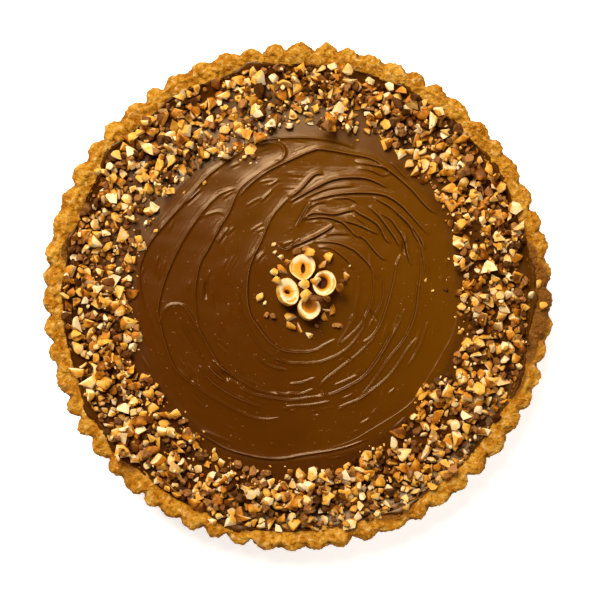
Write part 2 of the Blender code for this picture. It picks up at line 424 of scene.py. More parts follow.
# %% The baked case
POINTS_PER_FLUTE = 21
SHOULDER = (  # from the top of the wall over the rim to the lip
    (RIM_RADIUS - 0.55 * MM, RIM_TOP - 3.0 * MM),
    (RIM_RADIUS - 0.7 * MM, RIM_TOP - 1.6 * MM),
    (RIM_RADIUS - 1.8 * MM, RIM_TOP - 0.45 * MM),
    (CROWN_RADIUS, RIM_TOP),
    (CROWN_RADIUS - 2.2 * MM, RIM_TOP - 0.7 * MM),
    (LIP_RADIUS + 0.7 * MM, SPREAD_LEVEL + 1.3 * MM),
    (LIP_RADIUS, SPREAD_LEVEL),
)


def smooth_route(points, pieces):
    """A smooth curve through given points, with that many short pieces between two."""
    points = np.array(points, float)
    padded = np.vstack((2 * points[0] - points[1], points, 2 * points[-1] - points[-2]))
    share = np.linspace(0, 1, pieces, endpoint=False)[:, None]
    curve = []
    for before, start, end, after in zip(padded, padded[1:], padded[2:], padded[3:]):
        bend = 2 * before - 5 * start + 4 * end - after
        turn = 3 * start - before - 3 * end + after
        curve.append(start + 0.5 * ((end - before) * share + bend * share**2 + turn * share**3))
    return np.vstack(curve + [points[-1:]])


case_outline = [(0, 0), (0.5 * BASE_RADIUS, 0)]
case_outline += [(BASE_RADIUS - 1.5 * MM, 0), (BASE_RADIUS - 0.3 * MM, 0.6 * MM)]
case_outline += [(outer_wall(z), z) for z in np.arange(1.5, 23.0, 1.0) * MM]
case_outline += [tuple(point) for point in smooth_route(SHOULDER, 4)]
case_outline += [(LIP_RADIUS - 0.8 * MM, SPREAD_LEVEL - 3 * MM)]
case_outline += [(FOOT_RADIUS, BASE_THICKNESS), (0, BASE_THICKNESS)]
case = turned("baked_case", case_outline, POINTS_PER_FLUTE * FLUTES)
plain_case = points_of(case)
case_points, groove = baked(plain_case)
move_points(case, case_points)
store(case, "groove", groove)

# %% Crumb relief
CRUMB_RELIEF = (("clods", 3.0 * MM, 1.6 * MM), ("grains", 1.4 * MM, 1.4 * MM))  # name, size and depth
WALL_SHARE = 0.35  # of the relief, on the lower wall
FLAT_BELOW = 1.0 * MM


def apply_modifier(piece, kind, **settings):
    modifier = piece.modifiers.new(kind.lower(), kind)
    for name, value in settings.items():
        setattr(modifier, name, value)
    bpy.context.view_layer.objects.active = piece
    bpy.ops.object.modifier_apply(modifier=modifier.name)


crumbly = case.vertex_groups.new(name="crumbly")
share = WALL_SHARE + (1 - WALL_SHARE) * smooth_step((plain_case[:, 2] - 16 * MM) / (8 * MM))
share[plain_case[:, 2] < FLAT_BELOW] = 0.0
for level in np.unique(np.round(share, 1)):
    members = np.nonzero(np.round(share, 1) == level)[0].tolist()
    crumbly.add(members, float(level), "REPLACE")
for name, size, depth in CRUMB_RELIEF:
    relief = bpy.data.textures.new(name, "CLOUDS")
    relief.noise_scale = size
    relief.noise_depth = 1
    settings = {"texture": relief, "texture_coords": "LOCAL", "strength": depth, "vertex_group": "crumbly"}
    apply_modifier(case, "DISPLACE", **settings)
case.data.shade_smooth()
print("case", triangles(case), "triangles")

# %% [markdown]
# ## The swirls in the spread
# Each pass of the spatula leaves a low ridge at the edge of its blade: steep on the side of the blade and
# running out gently on the other. A ridge is a route across the tart in millimetres from its middle, with
# the steep side on the left. They are drawn one by one, because this is the pattern that a cook's wrist
# made.

# %% Routes of the ridges
RIDGES = (  # height and gentle width, then the places passed, all in millimetres
    (1.0, 5.0, (-26.5, 73), (-38.5, 64.5), (-46.5, 57.5), (-55.5, 47), (-64.5, 37), (-72, 28), (-76.5, 19),
     (-78, 10), (-76, -3), (-68.5, -20.5)),
    (1.0, 4.0, (27.5, 73.5), (20.5, 76), (10, 78), (-4, 78.5), (-18, 77), (-26.5, 73)),
    (1.0, 2.5, (-21, 74.5), (-15, 76), (-9, 75.5), (-6.5, 72.5), (-7, 69), (-10, 66.5), (-18, 62)),
    (1.1, 4.0, (-18, 62), (-23.5, 58), (-28, 54), (-31, 49), (-34, 41.5), (-39, 33.5), (-44, 24),
     (-48, 17), (-50, 8), (-50.5, -0.5), (-49.5, -10), (-48, -16)),
    (1.7, 4.2, (49, 60), (43, 64), (35.5, 68.5), (25.5, 70.5), (14.5, 72.5), (8, 72.5), (-4, 67.5),
     (-15, 62), (-23, 56), (-28.5, 50)),
    (1.0, 4.0, (-31, 53.5), (-35.5, 52), (-40.5, 49), (-48.5, 40), (-57, 27), (-64.5, 11), (-68.5, -3.5),
     (-68, -12), (-63, -29.5), (-57, -38.5), (-42, -49), (-25.5, -58), (-17, -60), (-8.5, -59)),
    (0.4, 3.0, (-36, 40.5), (-38.5, 42), (-42, 41.5), (-48, 39.5)),
    (1.3, 3.5, (1, 53), (-4, 49.5), (-12.5, 40), (-17.5, 29), (-23.5, 15.5), (-25, 2), (-23.5, -8),
     (-19.5, -14.5), (-14.5, -21), (-8.5, -25.5), (-1.5, -27), (7.5, -26.5), (13, -23.5), (18.5, -20.5)),
    (0.7, 3.0, (19.5, -23), (23, -18), (26.5, -12), (28.5, -5), (30, 2), (30, 10.5)),
    (0.9, 3.0, (-29.5, 5), (-28.5, -2.5), (-27, -9), (-19.5, -22.5), (-8.5, -31), (0.5, -32.5),
     (12, -31.5), (24, -25.5), (31.5, -16.5), (33, -12), (32, -7.5)),
    (1.0, 3.0, (-68, -13), (-66.5, -7.5), (-63, -4), (-57, -4), (-53.5, -7.5), (-46, -20.5),
     (-38.5, -33.5), (-35, -36.5), (-28, -41), (-19.5, -45.5), (-11.5, -47.5), (1, -47)),
    (1.0, 2.5, (-48.5, -33.5), (-44.5, -39), (-39.5, -43.5), (-31.5, -48.5), (-23.5, -52), (-18, -54)),
    (0.7, 2.0, (-28.5, -44.5), (-22.5, -47.5), (-15, -49), (-4, -50.5), (4.5, -49.5), (13, -48.5)),
    (0.6, 1.5, (-4, -42.5), (1.5, -42), (8.5, -39.5)),
    (0.6, 1.5, (-5, -47), (1.5, -47.5), (7.5, -45)),
    (1.0, 2.0, (11.5, -46), (14.5, -48), (21.5, -45.5), (32, -39.5), (39, -31), (44, -22.5), (49.5, -13),
     (52.5, -5.5)),
    (0.6, 2.0, (10.5, -44.5), (13, -41), (18.5, -36.5), (30, -27.5), (39, -18)),
    (0.4, 1.5, (18, -43), (23.5, -41), (29.5, -38)),
    (1.0, 2.5, (32, -22), (35.5, -20), (40, -14.5), (44, -3.5), (46.5, 6), (48.5, 15.5), (51, 22)),
    (0.8, 1.8, (30, -49.5), (35.5, -43.5), (45, -30), (52.5, -20.5), (57.5, -9), (59.5, 5), (60.5, 14),
     (58.5, 23.5)),
    (0.6, 2.0, (19.5, -54), (25.5, -52), (32, -49), (45, -38.5), (54, -25.5), (58, -20)),
    (0.6, 4.0, (-48, -65.5), (-43, -67), (-32, -71.5)),
    (0.3, 5.0, (14.5, -74.5), (25.5, -71), (35.5, -65.5), (54, -53.5), (62, -43), (71.5, -27), (77, -16),
     (79, -0.5), (75, 15), (65.5, 33), (57, 40.5)),
    (1.4, 2.5, (68.5, 41), (63.5, 44.5), (55, 54), (44, 63), (37.5, 65), (28, 66.5)),
    (1.3, 1.4, (12, 61), (7.5, 60), (1.5, 53.5), (-4, 49)),
    (1.8, 1.9, (44, 54), (35.5, 58), (27.5, 59), (17.5, 58), (7.5, 53.5), (-4, 47)),
    (0.8, 1.4, (27.5, 55), (14.5, 53.5), (3.5, 49)),
    (1.5, 1.9, (64.5, 30.5), (55.5, 40.5), (50, 46), (42, 50.5), (30, 51.5), (17.5, 50.5), (6, 47.5)),
    (1.4, 1.9, (62, 23.5), (61, 27.5), (57, 33.5), (50, 40.5), (45.5, 44.5), (37.5, 49)),
    (1.3, 1.7, (27.5, 43), (24, 42.5), (18, 41), (7.5, 41.5), (2.5, 38.5)),
    (1.3, 1.7, (45.5, 26.5), (43, 29), (40, 35), (35.5, 38.5), (30, 41.5), (26.5, 44.5)),
    (1.3, 1.7, (50, 25), (48, 29), (44.5, 34), (40, 40), (35, 44.5)),
    (1.3, 1.7, (30, 29), (26, 33), (21.5, 37), (13, 39.5), (2.5, 38.5)),
    (1.0, 1.5, (40, 31), (35.5, 33), (27.5, 36.5), (17.5, 38.5)),
    (1.0, 1.5, (43.5, 18), (40, 20.5), (36.5, 24.5), (32.5, 29), (26.5, 31.5)),
    (1.5, 1.0, (17.5, 35.5), (14, 33), (7.5, 29.5), (-4, 24.5)),
    (0.7, 0.8, (25.5, 31), (19.5, 31.5), (14, 31)),
    (1.1, 1.7, (39, 9), (35.5, 15.5), (31, 20.5), (26.5, 24), (18.5, 27), (7.5, 27.5)),
    (1.3, 1.0, (-0.5, 35), (3.5, 41.5), (6, 46.5)),
    (1.1, 1.3, (53, 26.5), (52.5, 30.5), (50, 33)),
    (0.5, 2.0, (64.5, 9), (63, 18), (59.5, 26.5)),
    (0.7, 1.3, (54.5, 57.5), (50, 62), (46, 66.5)),
    (1.3, 1.0, (-9.5, 25), (-6, 23.5), (-3, 25), (1, 28.5)),
    (0.6, 1.5, (-48, 53), (-55.5, 46)),
    (1.1, 1.4, (56, 15.5), (54, 21), (52.5, 28), (49, 34), (45.5, 38.5), (40, 41.5)),
    (0.9, 1.2, (63, 10), (60.5, 24.5), (57.5, 30.5), (53.5, 37.5), (46, 44)),
    (0.8, 1.2, (27.5, 13.5), (25, 17.5), (20.5, 21.5), (15.5, 24.5), (10, 24.5)),
    (0.6, 1.0, (47, 62), (42, 60), (36, 62.5), (30, 63.5)),
    (0.5, 1.0, (36, 31), (33, 36), (27, 40)), (0.6, 0.9, (14, 47), (9.5, 46.5), (5, 44)),
    (0.5, 0.9, (-22, -28), (-14, -33.5), (-5, -36)), (0.5, 0.9, (-58, -10), (-53, -20), (-46, -30)),
    (0.5, 1.0, (-6, -53.5), (6, -53), (16, -51)), (0.5, 0.9, (41, -29), (46, -19), (49.5, -8)),
    (0.5, 1.2, (-34.5, 34), (-37, 30.5), (-39.5, 26.5)),
    (0.4, 1.0, (-12.5, 53), (-18.5, 47)),
    (0.4, 1.0, (-9.5, 58), (-14.5, 54.5)),
    (0.6, 1.2, (21, -23), (32, -12), (37.3, 3.5), (35, 21)),
    (0.6, 1.1, (35, -14.5), (41.5, -1), (41.5, 14.5)),
    (0.8, 2.2, (34, -70), (20.5, -74.5), (3, -77.5), (-13, -79.5), (-34, -75), (-48.5, -67)),
    (0.8, 1.0, (29, 46.5), (25, 48.8), (18, 48.8)),
    (1.0, 1.0, (-44, -34), (-40, -38), (-36, -41)), (0.9, 1.0, (-42, -31), (-37.5, -34.5), (-33, -38)),
    (0.6, 1.0, (-31, -36), (-27, -39.5), (-21, -42.5)), (0.5, 0.9, (54, -34), (60, -24), (64, -12)),
)
print(len(RIDGES), "ridges")


# %% How far a place is beside a route
def beside_route(x, y, route):
    """How far each place is to the left of a route, and its share of the way along it."""
    start = route[:-1]
    step = route[1:] - start
    away = np.stack((x, y), 1)[:, None, :] - start
    along = np.clip((away * step).sum(2) / (step**2).sum(1), 0, 1)
    miss = away - along[..., None] * step
    distance = np.hypot(miss[..., 0], miss[..., 1])
    nearest = distance.argmin(1)
    rows = np.arange(len(x))
    side = step[nearest, 0] * away[rows, nearest, 1] - step[nearest, 1] * away[rows, nearest, 0]
    return np.copysign(distance[rows, nearest], side), (nearest + along[rows, nearest]) / len(step)


# %% What one ridge does
STEEP_WIDTH = 0.42 * MM
CREST_WIDTH = 0.45 * MM
FOOT_PLACE = 1.0 * MM  # a fold has a narrow dip along its steep side
FOOT_WIDTH = 0.5 * MM
DRAG_WIDTH = 2.2 * MM
EDGE_WIDTH = 0.9 * MM
TAPER = 0.45  # the smaller, the more suddenly a ridge ends
FAR_AWAY = 1.0


def ridge_rise(x, y, height, gentle, points):
    """What one ridge does: its rise, the drag behind it, how far a place is to its left, its sharpness."""
    route = smooth_route(points, 5) * MM
    reach = 2.6 * gentle * MM
    low = route.min(0) - reach
    high = route.max(0) + reach
    near = (x > low[0]) & (x < high[0]) & (y > low[1]) & (y < high[1])
    rise = np.zeros(len(x))
    behind = np.zeros(len(x))
    beside = np.full(len(x), FAR_AWAY)
    edge = np.zeros(len(x))
    if near.any():
        left, share = beside_route(x[near], y[near], route)
        width = np.where(left > 0, STEEP_WIDTH, gentle * MM)
        broad = np.exp(-np.abs(left) / width)
        crisp = np.exp(-((np.abs(left) / CREST_WIDTH) ** 1.3))
        strength = height * np.sin(np.pi * np.clip(share, 0, 1)) ** TAPER
        fold = smooth_step((3.0 - gentle) / 1.2)  # 1 for a narrow fold, 0 for a broad terrace
        foot = (0.05 + 0.38 * fold) * np.exp(-(((left - FOOT_PLACE) / FOOT_WIDTH) ** 2))
        rise[near] = (0.8 + 0.15 * fold) * strength * MM * (0.6 * broad + 0.4 * crisp - foot)
        behind[near] = np.where(left < 0, strength, 0) * np.exp(-np.abs(left) / DRAG_WIDTH)
        beside[near] = left
        edge[near] = (0.6 + 0.4 * fold) * strength * np.exp(-((left / EDGE_WIDTH) ** 2))
    return rise, behind, beside, edge


# %% [markdown]
# Between the ridges the blade also drags short fine marks. They are the same kind of ridge, made small and
# short, and laid along circles round the middle at random places with a fixed seed. Here and there its tip
# has left a small dent.

# %% Small dents
DENTS = (  # east, north, half width and half length in millimetres, turn in degrees, depth in millimetres
    (-45.2, 3.8, 1.0, 3.8, -4, 1.1), (-35.5, -38.5, 1.3, 2.2, 40, 0.9), (-31, -40.5, 0.8, 2.6, 60, 0.5),
    (-9, 66, 1.0, 2.0, 70, 0.5), (37, -9, 0.7, 2.4, 25, 0.8), (24.5, -30, 0.6, 1.8, 60, 0.5),
    (52, 24, 0.9, 3.0, -10, 0.9), (-52, -40, 0.6, 2.0, -30, 0.4), (8, -57, 0.6, 2.2, 85, 0.4),
)
print(len(DENTS), "dents")

# %% Short drag marks
DRAG_COUNT = 130
chance = np.random.default_rng(5)
drag_marks = []
for _ in range(DRAG_COUNT):
    radius = chance.uniform(27, 83)
    angle = chance.uniform(0, math.tau)
    length = chance.uniform(3, 9) / radius
    drift = chance.uniform(-1.2, 0.6)
    ends = [(radius + drift * share, angle + length * share) for share in (0.0, 0.5, 1.0)]
    route = [(r * math.cos(a), r * math.sin(a)) for r, a in ends]
    drag_marks.append((chance.uniform(0.12, 0.42), chance.uniform(0.4, 0.9), *route))
print(len(drag_marks), "drag marks")

# %% The height of the spread
STROKES_RADIUS = 80 * MM  # beyond the strokes the spread runs down a little towards the rim
OUTER_SLOPE = math.tan(math.radians(7.5))
OUTER_RUN = 14 * MM
SPREAD_WAVES = ((0.28 * MM, 22 * MM, 7.0), (0.10 * MM, 7 * MM, 9.0))  # height, size and seed


def spread_height(x, y):
    """Height of the spread's top, and for the nearest ridge its drag, how far beside it, and its edge."""
    radius = np.hypot(x, y)
    height = SPREAD_LEVEL + SPREAD_DOME * (1 - (radius / LIP_RADIUS) ** 2)
    height = height - OUTER_SLOPE * np.clip(radius - STROKES_RADIUS, 0, OUTER_RUN)
    drag = np.zeros(len(x))
    edge = np.zeros(len(x))
    nearest = np.full(len(x), FAR_AWAY)
    for wave, size, seed in SPREAD_WAVES:
        height = height + wave * noise_at(x, y, 0.0, size, seed)
    for height_mm, gentle, *points in RIDGES:
        rise, behind, beside, sharp = ridge_rise(x, y, height_mm, gentle, points)
        height += rise
        closer = np.abs(beside) < np.abs(nearest)
        drag = np.where(closer, behind, drag)
        edge = np.where(closer, sharp, edge)
        nearest = np.where(closer, beside, nearest)
    for height_mm, gentle, *points in drag_marks:
        height += ridge_rise(x, y, height_mm, gentle, points)[0]
    for east, north, half_width, half_length, turn, depth in DENTS:
        away = ((x / MM - east) + 1j * (y / MM - north)) * np.exp(-1j * math.radians(turn))
        height -= depth * MM * np.exp(-((away.real / half_width) ** 4) - (away.imag / half_length) ** 4)
    return height, drag, nearest, edge


# %% [markdown]
# The spread is turned like the case, with rings about half a millimetre apart where the ridges are. Its
# edge reaches just into the pastry, and in some places the spatula has dragged it up over the rim in a thin
# film. Three numbers are stored for each point, for the finish to read: how strongly the blade dragged
# there, how far it is beside the nearest ridge, and how sharp that ridge is.

# %% The swirled spread
SPREAD_STEPS = 520
LIP_REACH = 0.7
LIP_NOISE = ((12, 0.6, 2.0), (45, 0.5, 6.0))  # waves round the lip, reach in millimetres and seed
SMEARS = (  # angle, half width in degrees, reach over the rim in millimetres
    (340, 5, 3.0), (296, 4, 3.6), (208, 5, 4.2), (220, 5, 4.6), (254, 6, 4.4), (101, 4, 3.6), (143, 4, 3.8),
    (166, 3, 2.4), (178, 3, 1.8), (62, 3, 1.8), (2, 8, 3.6), (33, 6, 2.8), (122, 3, 1.8),
)


def smear_reach(angle):
    """How far the spread reaches over the rim at an angle."""
    degrees = np.degrees(angle)
    reach = LIP_REACH
    for waves, extra, seed in LIP_NOISE:
        reach = reach + extra * noise_at(waves * np.cos(angle), waves * np.sin(angle), seed, 1.0)
    for middle, half, extra in SMEARS:
        away = (degrees - middle + 180) % 360 - 180
        reach = reach + extra * np.exp(-((away / half) ** 2))
    return reach * MM


FILM_RINGS = 6
FILM_WIDTH = FILM_RINGS * 0.5 * MM
foot = BASE_THICKNESS + 0.35 * MM  # clear of the rough floor of the case
radii = list(np.arange(LIP_RADIUS, 86 * MM, -1.5 * MM)) + list(np.arange(86, 20, -0.45) * MM)
radii += list(np.arange(20, 1, -2.0) * MM)
spread_outline = [(0, foot), (FOOT_RADIUS - 0.3 * MM, foot), (LIP_RADIUS - 1.0 * MM, SPREAD_LEVEL - 3 * MM)]
spread_outline += [(LIP_RADIUS + ring * 0.5 * MM, SPREAD_LEVEL) for ring in range(FILM_RINGS, 0, -1)]
spread_outline += [(radius, SPREAD_LEVEL) for radius in radii] + [(0, SPREAD_LEVEL)]
spread = turned("swirled_spread", spread_outline, SPREAD_STEPS)

# %% Lay the spread's top
BESIDE_LIMIT = 10 * MM
FILM_THICKNESS = 0.8 * MM
FILM_TUCK = 0.9 * MM  # how far its outer edge dips into the pastry
EDGE_RUN = 7 * MM  # over which the spread comes back up to the lip
spread_points = points_of(spread)
x, y, z = spread_points.T
radius = np.hypot(x, y)
angle = np.arctan2(y, x)
top = z > SPREAD_LEVEL - 0.1 * MM
film = np.clip((radius - LIP_RADIUS) / FILM_WIDTH, 0, 1)
inner = top & (film <= 0)
new_z = z.copy()
drag = np.zeros(len(x))
edge = np.zeros(len(x))
nearest = np.full(len(x), BESIDE_LIMIT)
new_z[inner], drag[inner], nearest[inner], edge[inner] = spread_height(x[inner], y[inner])
rim_share = smooth_step((radius - 0.9 * LIP_RADIUS) / (0.1 * LIP_RADIUS)) * top
new_radius = radius + rim_share * lip_shift(angle)
over = top & (film > 0)
plain_radius = LIP_RADIUS + film * (0.3 * MM + smear_reach(angle))
rim_points = np.array(SHOULDER[::-1])
rim_height = np.interp(plain_radius, rim_points[:4, 0], rim_points[:4, 1])
on_rim = baked(np.stack((plain_radius * np.cos(angle), plain_radius * np.sin(angle), rim_height), 1))[0]
thickness = FILM_THICKNESS * (1 - film**3) - FILM_TUCK * film**6
new_radius[over] = np.hypot(on_rim[over, 0], on_rim[over, 1])
new_z[over] = on_rim[over, 2] + thickness[over]
edge_rise = smooth_step((radius - LIP_RADIUS + EDGE_RUN) / EDGE_RUN)
new_z[inner] += (SPREAD_LEVEL + 0.1 * MM - new_z[inner]) * edge_rise[inner]
move_points(spread, np.stack((new_radius * np.cos(angle), new_radius * np.sin(angle), new_z), 1))
spread.data.shade_smooth()
store(spread, "drag", drag)
store(spread, "beside", np.clip(nearest, -BESIDE_LIMIT, BESIDE_LIMIT))
store(spread, "edge", edge)
print("spread", triangles(spread), "triangles, top", round(1000 * new_z.max(), 1), "mm")

# %% [markdown]
# ## Pastry finish
# Baked shortcrust is golden and sandy: pale grains stand out of a deeper gold, and where the spread was
# dragged the pastry is stained with chocolate. The pale grains sit on the tops of the crumb and are partly
# a painted highlight; the pits and the grooves between the lobes are painted shade. The colours are laid
# like coats of paint. Each coat has a colour and a share, which says how far it covers what is below.

# %% Stains and coats
STAINS = (  # angle and half width in degrees, radius and half width in millimetres
    (-1, 9, 119, 5.0), (-12, 4, 117, 3.0), (10, 3, 116, 3.0), (168, 3, 116, 2.0), (222, 4, 116, 3.0),
    (254, 4, 116, 2.5), (295, 4, 116, 2.5), (339, 4, 116, 2.5),
)


def coated(finish, colour, coats):
    """The colour under a number of coats, each a share and a colour."""
    for share, coat in coats:
        colour = finish.mix(share, colour, coat)
    return colour


case_points = points_of(case)
case_deg = np.degrees(np.arctan2(case_points[:, 1], case_points[:, 0]))
case_radius = np.hypot(case_points[:, 0], case_points[:, 1])
stain = np.zeros(len(case_points))
for middle, half, middle_radius, width in STAINS:
    away = ((case_deg - middle + 180) % 360 - 180) / half
    across = (case_radius / MM - middle_radius) / width
    stain = np.maximum(stain, np.exp(-(away**2) - across**2))
stain *= case_points[:, 2] > SPREAD_LEVEL - 1 * MM
store(case, "stain", stain)
print("stained points:", int((stain > 0.5).sum()))

# %% Golden crust
GOLD = (0.52, 0.238, 0.018)
DEEP_GOLD = (0.38, 0.136, 0.004)
# pale grains, partly a painted highlight on the tops of the crumb
PALE_SAND_AND_HIGHLIGHT = (0.69, 0.41, 0.12)
DARK_SAND = (0.25, 0.070, 0.002)
# painted shade in the pits of the crumb
PIT_SHADE = (0.12, 0.03, 0.001)
# painted shade in the grooves between the lobes
GROOVE_SHADE = (0.16, 0.042, 0.001)
SMUDGE = (0.14, 0.045, 0.006)
# pale grit, partly a painted highlight on the tops of the crumb
PALE_GRIT_AND_HIGHLIGHT = (0.82, 0.54, 0.20)
DARK_GRIT = (0.18, 0.050, 0.001)
crust_finish = Finish("golden_crust", 0.68, 0.08, (1.0, 0.75, 0.4))
patches = crust_finish.noise(8 * MM, 3).between(0.35, 0.65)
sand = crust_finish.noise(2.4 * MM, 3)
grains = crust_finish.noise(1.1 * MM, 2)
grit = crust_finish.noise(0.7 * MM, 1)
smudge = (crust_finish.attribute("stain") + sand * 0.5 - 0.25).between(0.10, 0.45)
gold = coated(crust_finish, crust_finish.mix(patches, DEEP_GOLD, GOLD), (
    (sand.between(0.50, 0.78), PALE_SAND_AND_HIGHLIGHT),
    (sand.between(0.46, 0.32) * 0.85, DARK_SAND),
    (grains.between(0.34, 0.24) * 0.65, PIT_SHADE),
    (crust_finish.attribute("groove").between(0.2, 0.9) * 0.55, GROOVE_SHADE),
    (smudge * 0.9, SMUDGE),
    (grit.between(0.60, 0.78) * 0.3, PALE_GRIT_AND_HIGHLIGHT),
    (grit.between(0.38, 0.26) * 0.5, DARK_GRIT),
))
crumb = crust_finish.bump(grit * 0.4 + grains * 0.8 + sand, 0.8 * MM)
case.data.materials.append(crust_finish.finish(gold, crumb))
print("crust finish:", len(crust_finish.tree.nodes), "nodes")

# %% [markdown]
# ## Chocolate finish
# The spread is a smooth satin brown, a little lighter to the right. Very fine lines follow the blade round
# the tart, so the noise for them is stretched along circles: two coordinates change slowly and the third,
# the distance from the middle, quickly. Each ridge gets a thin painted highlight on its crest and a line of
# painted shade at its foot, because relief alone comes out too soft at this scale. Outside the strokes the
# spread is duller, and its brown is darkened with painted shade among the nuts, most of all under them.

# %% Satin chocolate: where things are
LEFT_BROWN = (0.075, 0.0188, 0.0001)
RIGHT_BROWN = (0.112, 0.0355, 0.0003)
# outside the strokes and under the nuts the brown is darkened with painted shade; the crest colour is a
# painted highlight and the foot colour is painted shade
OUTER_SHADE_BROWN = (0.060, 0.0150, 0.0001)
SPECK = (0.17, 0.065, 0.015)
CREST_HIGHLIGHT = (0.23, 0.095, 0.027)
FOOT_SHADE = (0.024, 0.0050, 0.0001)
UNDER_NUT_SHADE = (0.034, 0.0090, 0.0001)
WAVE_LENGTH = 1.7 * MM
choc_finish = Finish("satin_chocolate", 0.28, 0.34, (1.0, 0.73, 0.43))
east = choc_finish.node("ShaderNodeSeparateXYZ", sockets={0: choc_finish.place}, output="X")
north = Value(choc_finish, east.socket.node.outputs["Y"])
out = (east * east + north * north) ** 0.5
sway = choc_finish.noise(40 * MM, 1)
stretched = choc_finish.node(
    "ShaderNodeCombineXYZ", sockets={0: east * 55.0, 1: north * 55.0, 2: out * 1300.0 + sway * 14.0}
)
lines = choc_finish.node("ShaderNodeTexNoise", sockets={"Vector": stretched, "Scale": 1.0, "Detail": 2.0})
where = choc_finish.noise(16 * MM, 1).between(0.45, 0.70)
cloud = choc_finish.noise(24 * MM, 2)
specks = choc_finish.noise(1.5 * MM, 1).between(0.72, 0.80)
outside = (out + sway * 0.006).between(80 * MM, 85 * MM)
# under the nuts: painted shade in the colour, and a little less roughness
nut_shade_zone = out.between(90 * MM, 100 * MM)
beside = choc_finish.attribute("beside")
edge = choc_finish.attribute("edge")
# masks for the painted highlight on each ridge's crest and the painted shade at its foot
crest_highlight_line = beside.between(0.35 * MM, 0.05 * MM) * beside.between(-0.9 * MM, -0.3 * MM) * edge
foot_shade_line = beside.between(0.1 * MM, 0.5 * MM) * beside.between(1.3 * MM, 0.7 * MM) * edge
print("chocolate finish:", len(choc_finish.tree.nodes), "nodes so far")

# %% Satin chocolate: relief, colour and gloss
waves = (beside * (math.tau / WAVE_LENGTH) + choc_finish.noise(9 * MM, 2) * 12.0).math("SINE")
satin = choc_finish.bump(waves * choc_finish.attribute("drag"), 0.03 * MM)
crest = beside.between(0.4 * MM, 0.0) * beside.between(-0.8 * MM, 0.0) * edge
for height, depth in ((crest, 0.32 * MM), (lines * where, 0.08 * MM), (specks, 0.07 * MM)):
    satin = choc_finish.bump(height, depth, satin)
lighter = (east * 7.0 + north * 4.5 + cloud * 0.5 + 0.2).between(0.0, 1.0)
# coats: painted shade outside the strokes, specks, a painted highlight on crests, painted shade at feet and
# under the nuts
brown = coated(choc_finish, choc_finish.mix(lighter, LEFT_BROWN, RIGHT_BROWN), (
    (outside * 0.5, OUTER_SHADE_BROWN),
    (specks * 0.7, SPECK),
    (crest_highlight_line.between(0.3, 1.1) * 0.6, CREST_HIGHLIGHT),
    (foot_shade_line.between(0.0, 0.7) * 0.7, FOOT_SHADE),
    (nut_shade_zone * 0.3, UNDER_NUT_SHADE),
))
dulled = choc_finish.noise(12 * MM, 3) * 0.08 + 0.17 + outside * 0.16 - nut_shade_zone * 0.08
spread.data.materials.append(choc_finish.finish(brown, satin, dulled))
print("chocolate finish:", len(choc_finish.tree.nodes), "nodes")

# %% [markdown]
# ## Chopped hazelnuts
# A roasted kernel breaks along nearly flat faces under the knife. A chip therefore keeps a little of the
# round golden outside, and its other faces are cream. Each of a few kinds of chip is cut from a ball by
# flat cuts, and its edges are broken a little. A few come from round the hollow in the middle of the
# kernel, so they are bowed like a shell.


# %% Helpers for cutting
KERNEL_RADIUS = 6.5 * MM


def ball(name, radius, subdivisions):
    add = bpy.ops.mesh.primitive_ico_sphere_add
    return started(name, add, subdivisions=subdivisions, radius=radius)


def cut_away(place, direction):
    """Cuts off what lies beyond a plane, and closes the cut."""
    bpy.ops.mesh.select_all(action="SELECT")
    bpy.ops.mesh.bisect(plane_co=place, plane_no=direction, use_fill=True, clear_outer=True)


def some_direction(chance):
    return Vector(chance.normal(size=3)).normalized()


def tidy_mesh(threshold, flat=None):
    """Merges close points, dissolves nearly flat edges and turns faces outwards, then leaves edit mode."""
    bpy.ops.mesh.select_all(action="SELECT")
    bpy.ops.mesh.remove_doubles(threshold=threshold)
    if flat is not None:
        bpy.ops.mesh.dissolve_limited(angle_limit=math.radians(flat))
    bpy.ops.mesh.normals_make_consistent(inside=False)
    bpy.ops.object.mode_set(mode="OBJECT")


def centred(piece, smooth_below):
    points = points_of(piece)
    move_points(piece, points - points.mean(0))
    bpy.ops.object.shade_smooth_by_angle(angle=math.radians(smooth_below))
    return piece


# %% Cut one chip from a ball
CHIP_WANDER = 0.52  # how far the knife strays from a square cut
CHIP_BLUNT = 0.42 * MM
CHIP_MERGE = 0.15 * MM
FLAT_ANGLE = 4  # edges flatter than this are dissolved, in degrees
EDGE_ANGLE = 38  # edges sharper than this are blunted
CHIP_SMOOTH = 42
LUMP_SMOOTH = 24
SKIN_START = 0.90  # faces this near to the kernel's skin are toasted, as a share of its radius


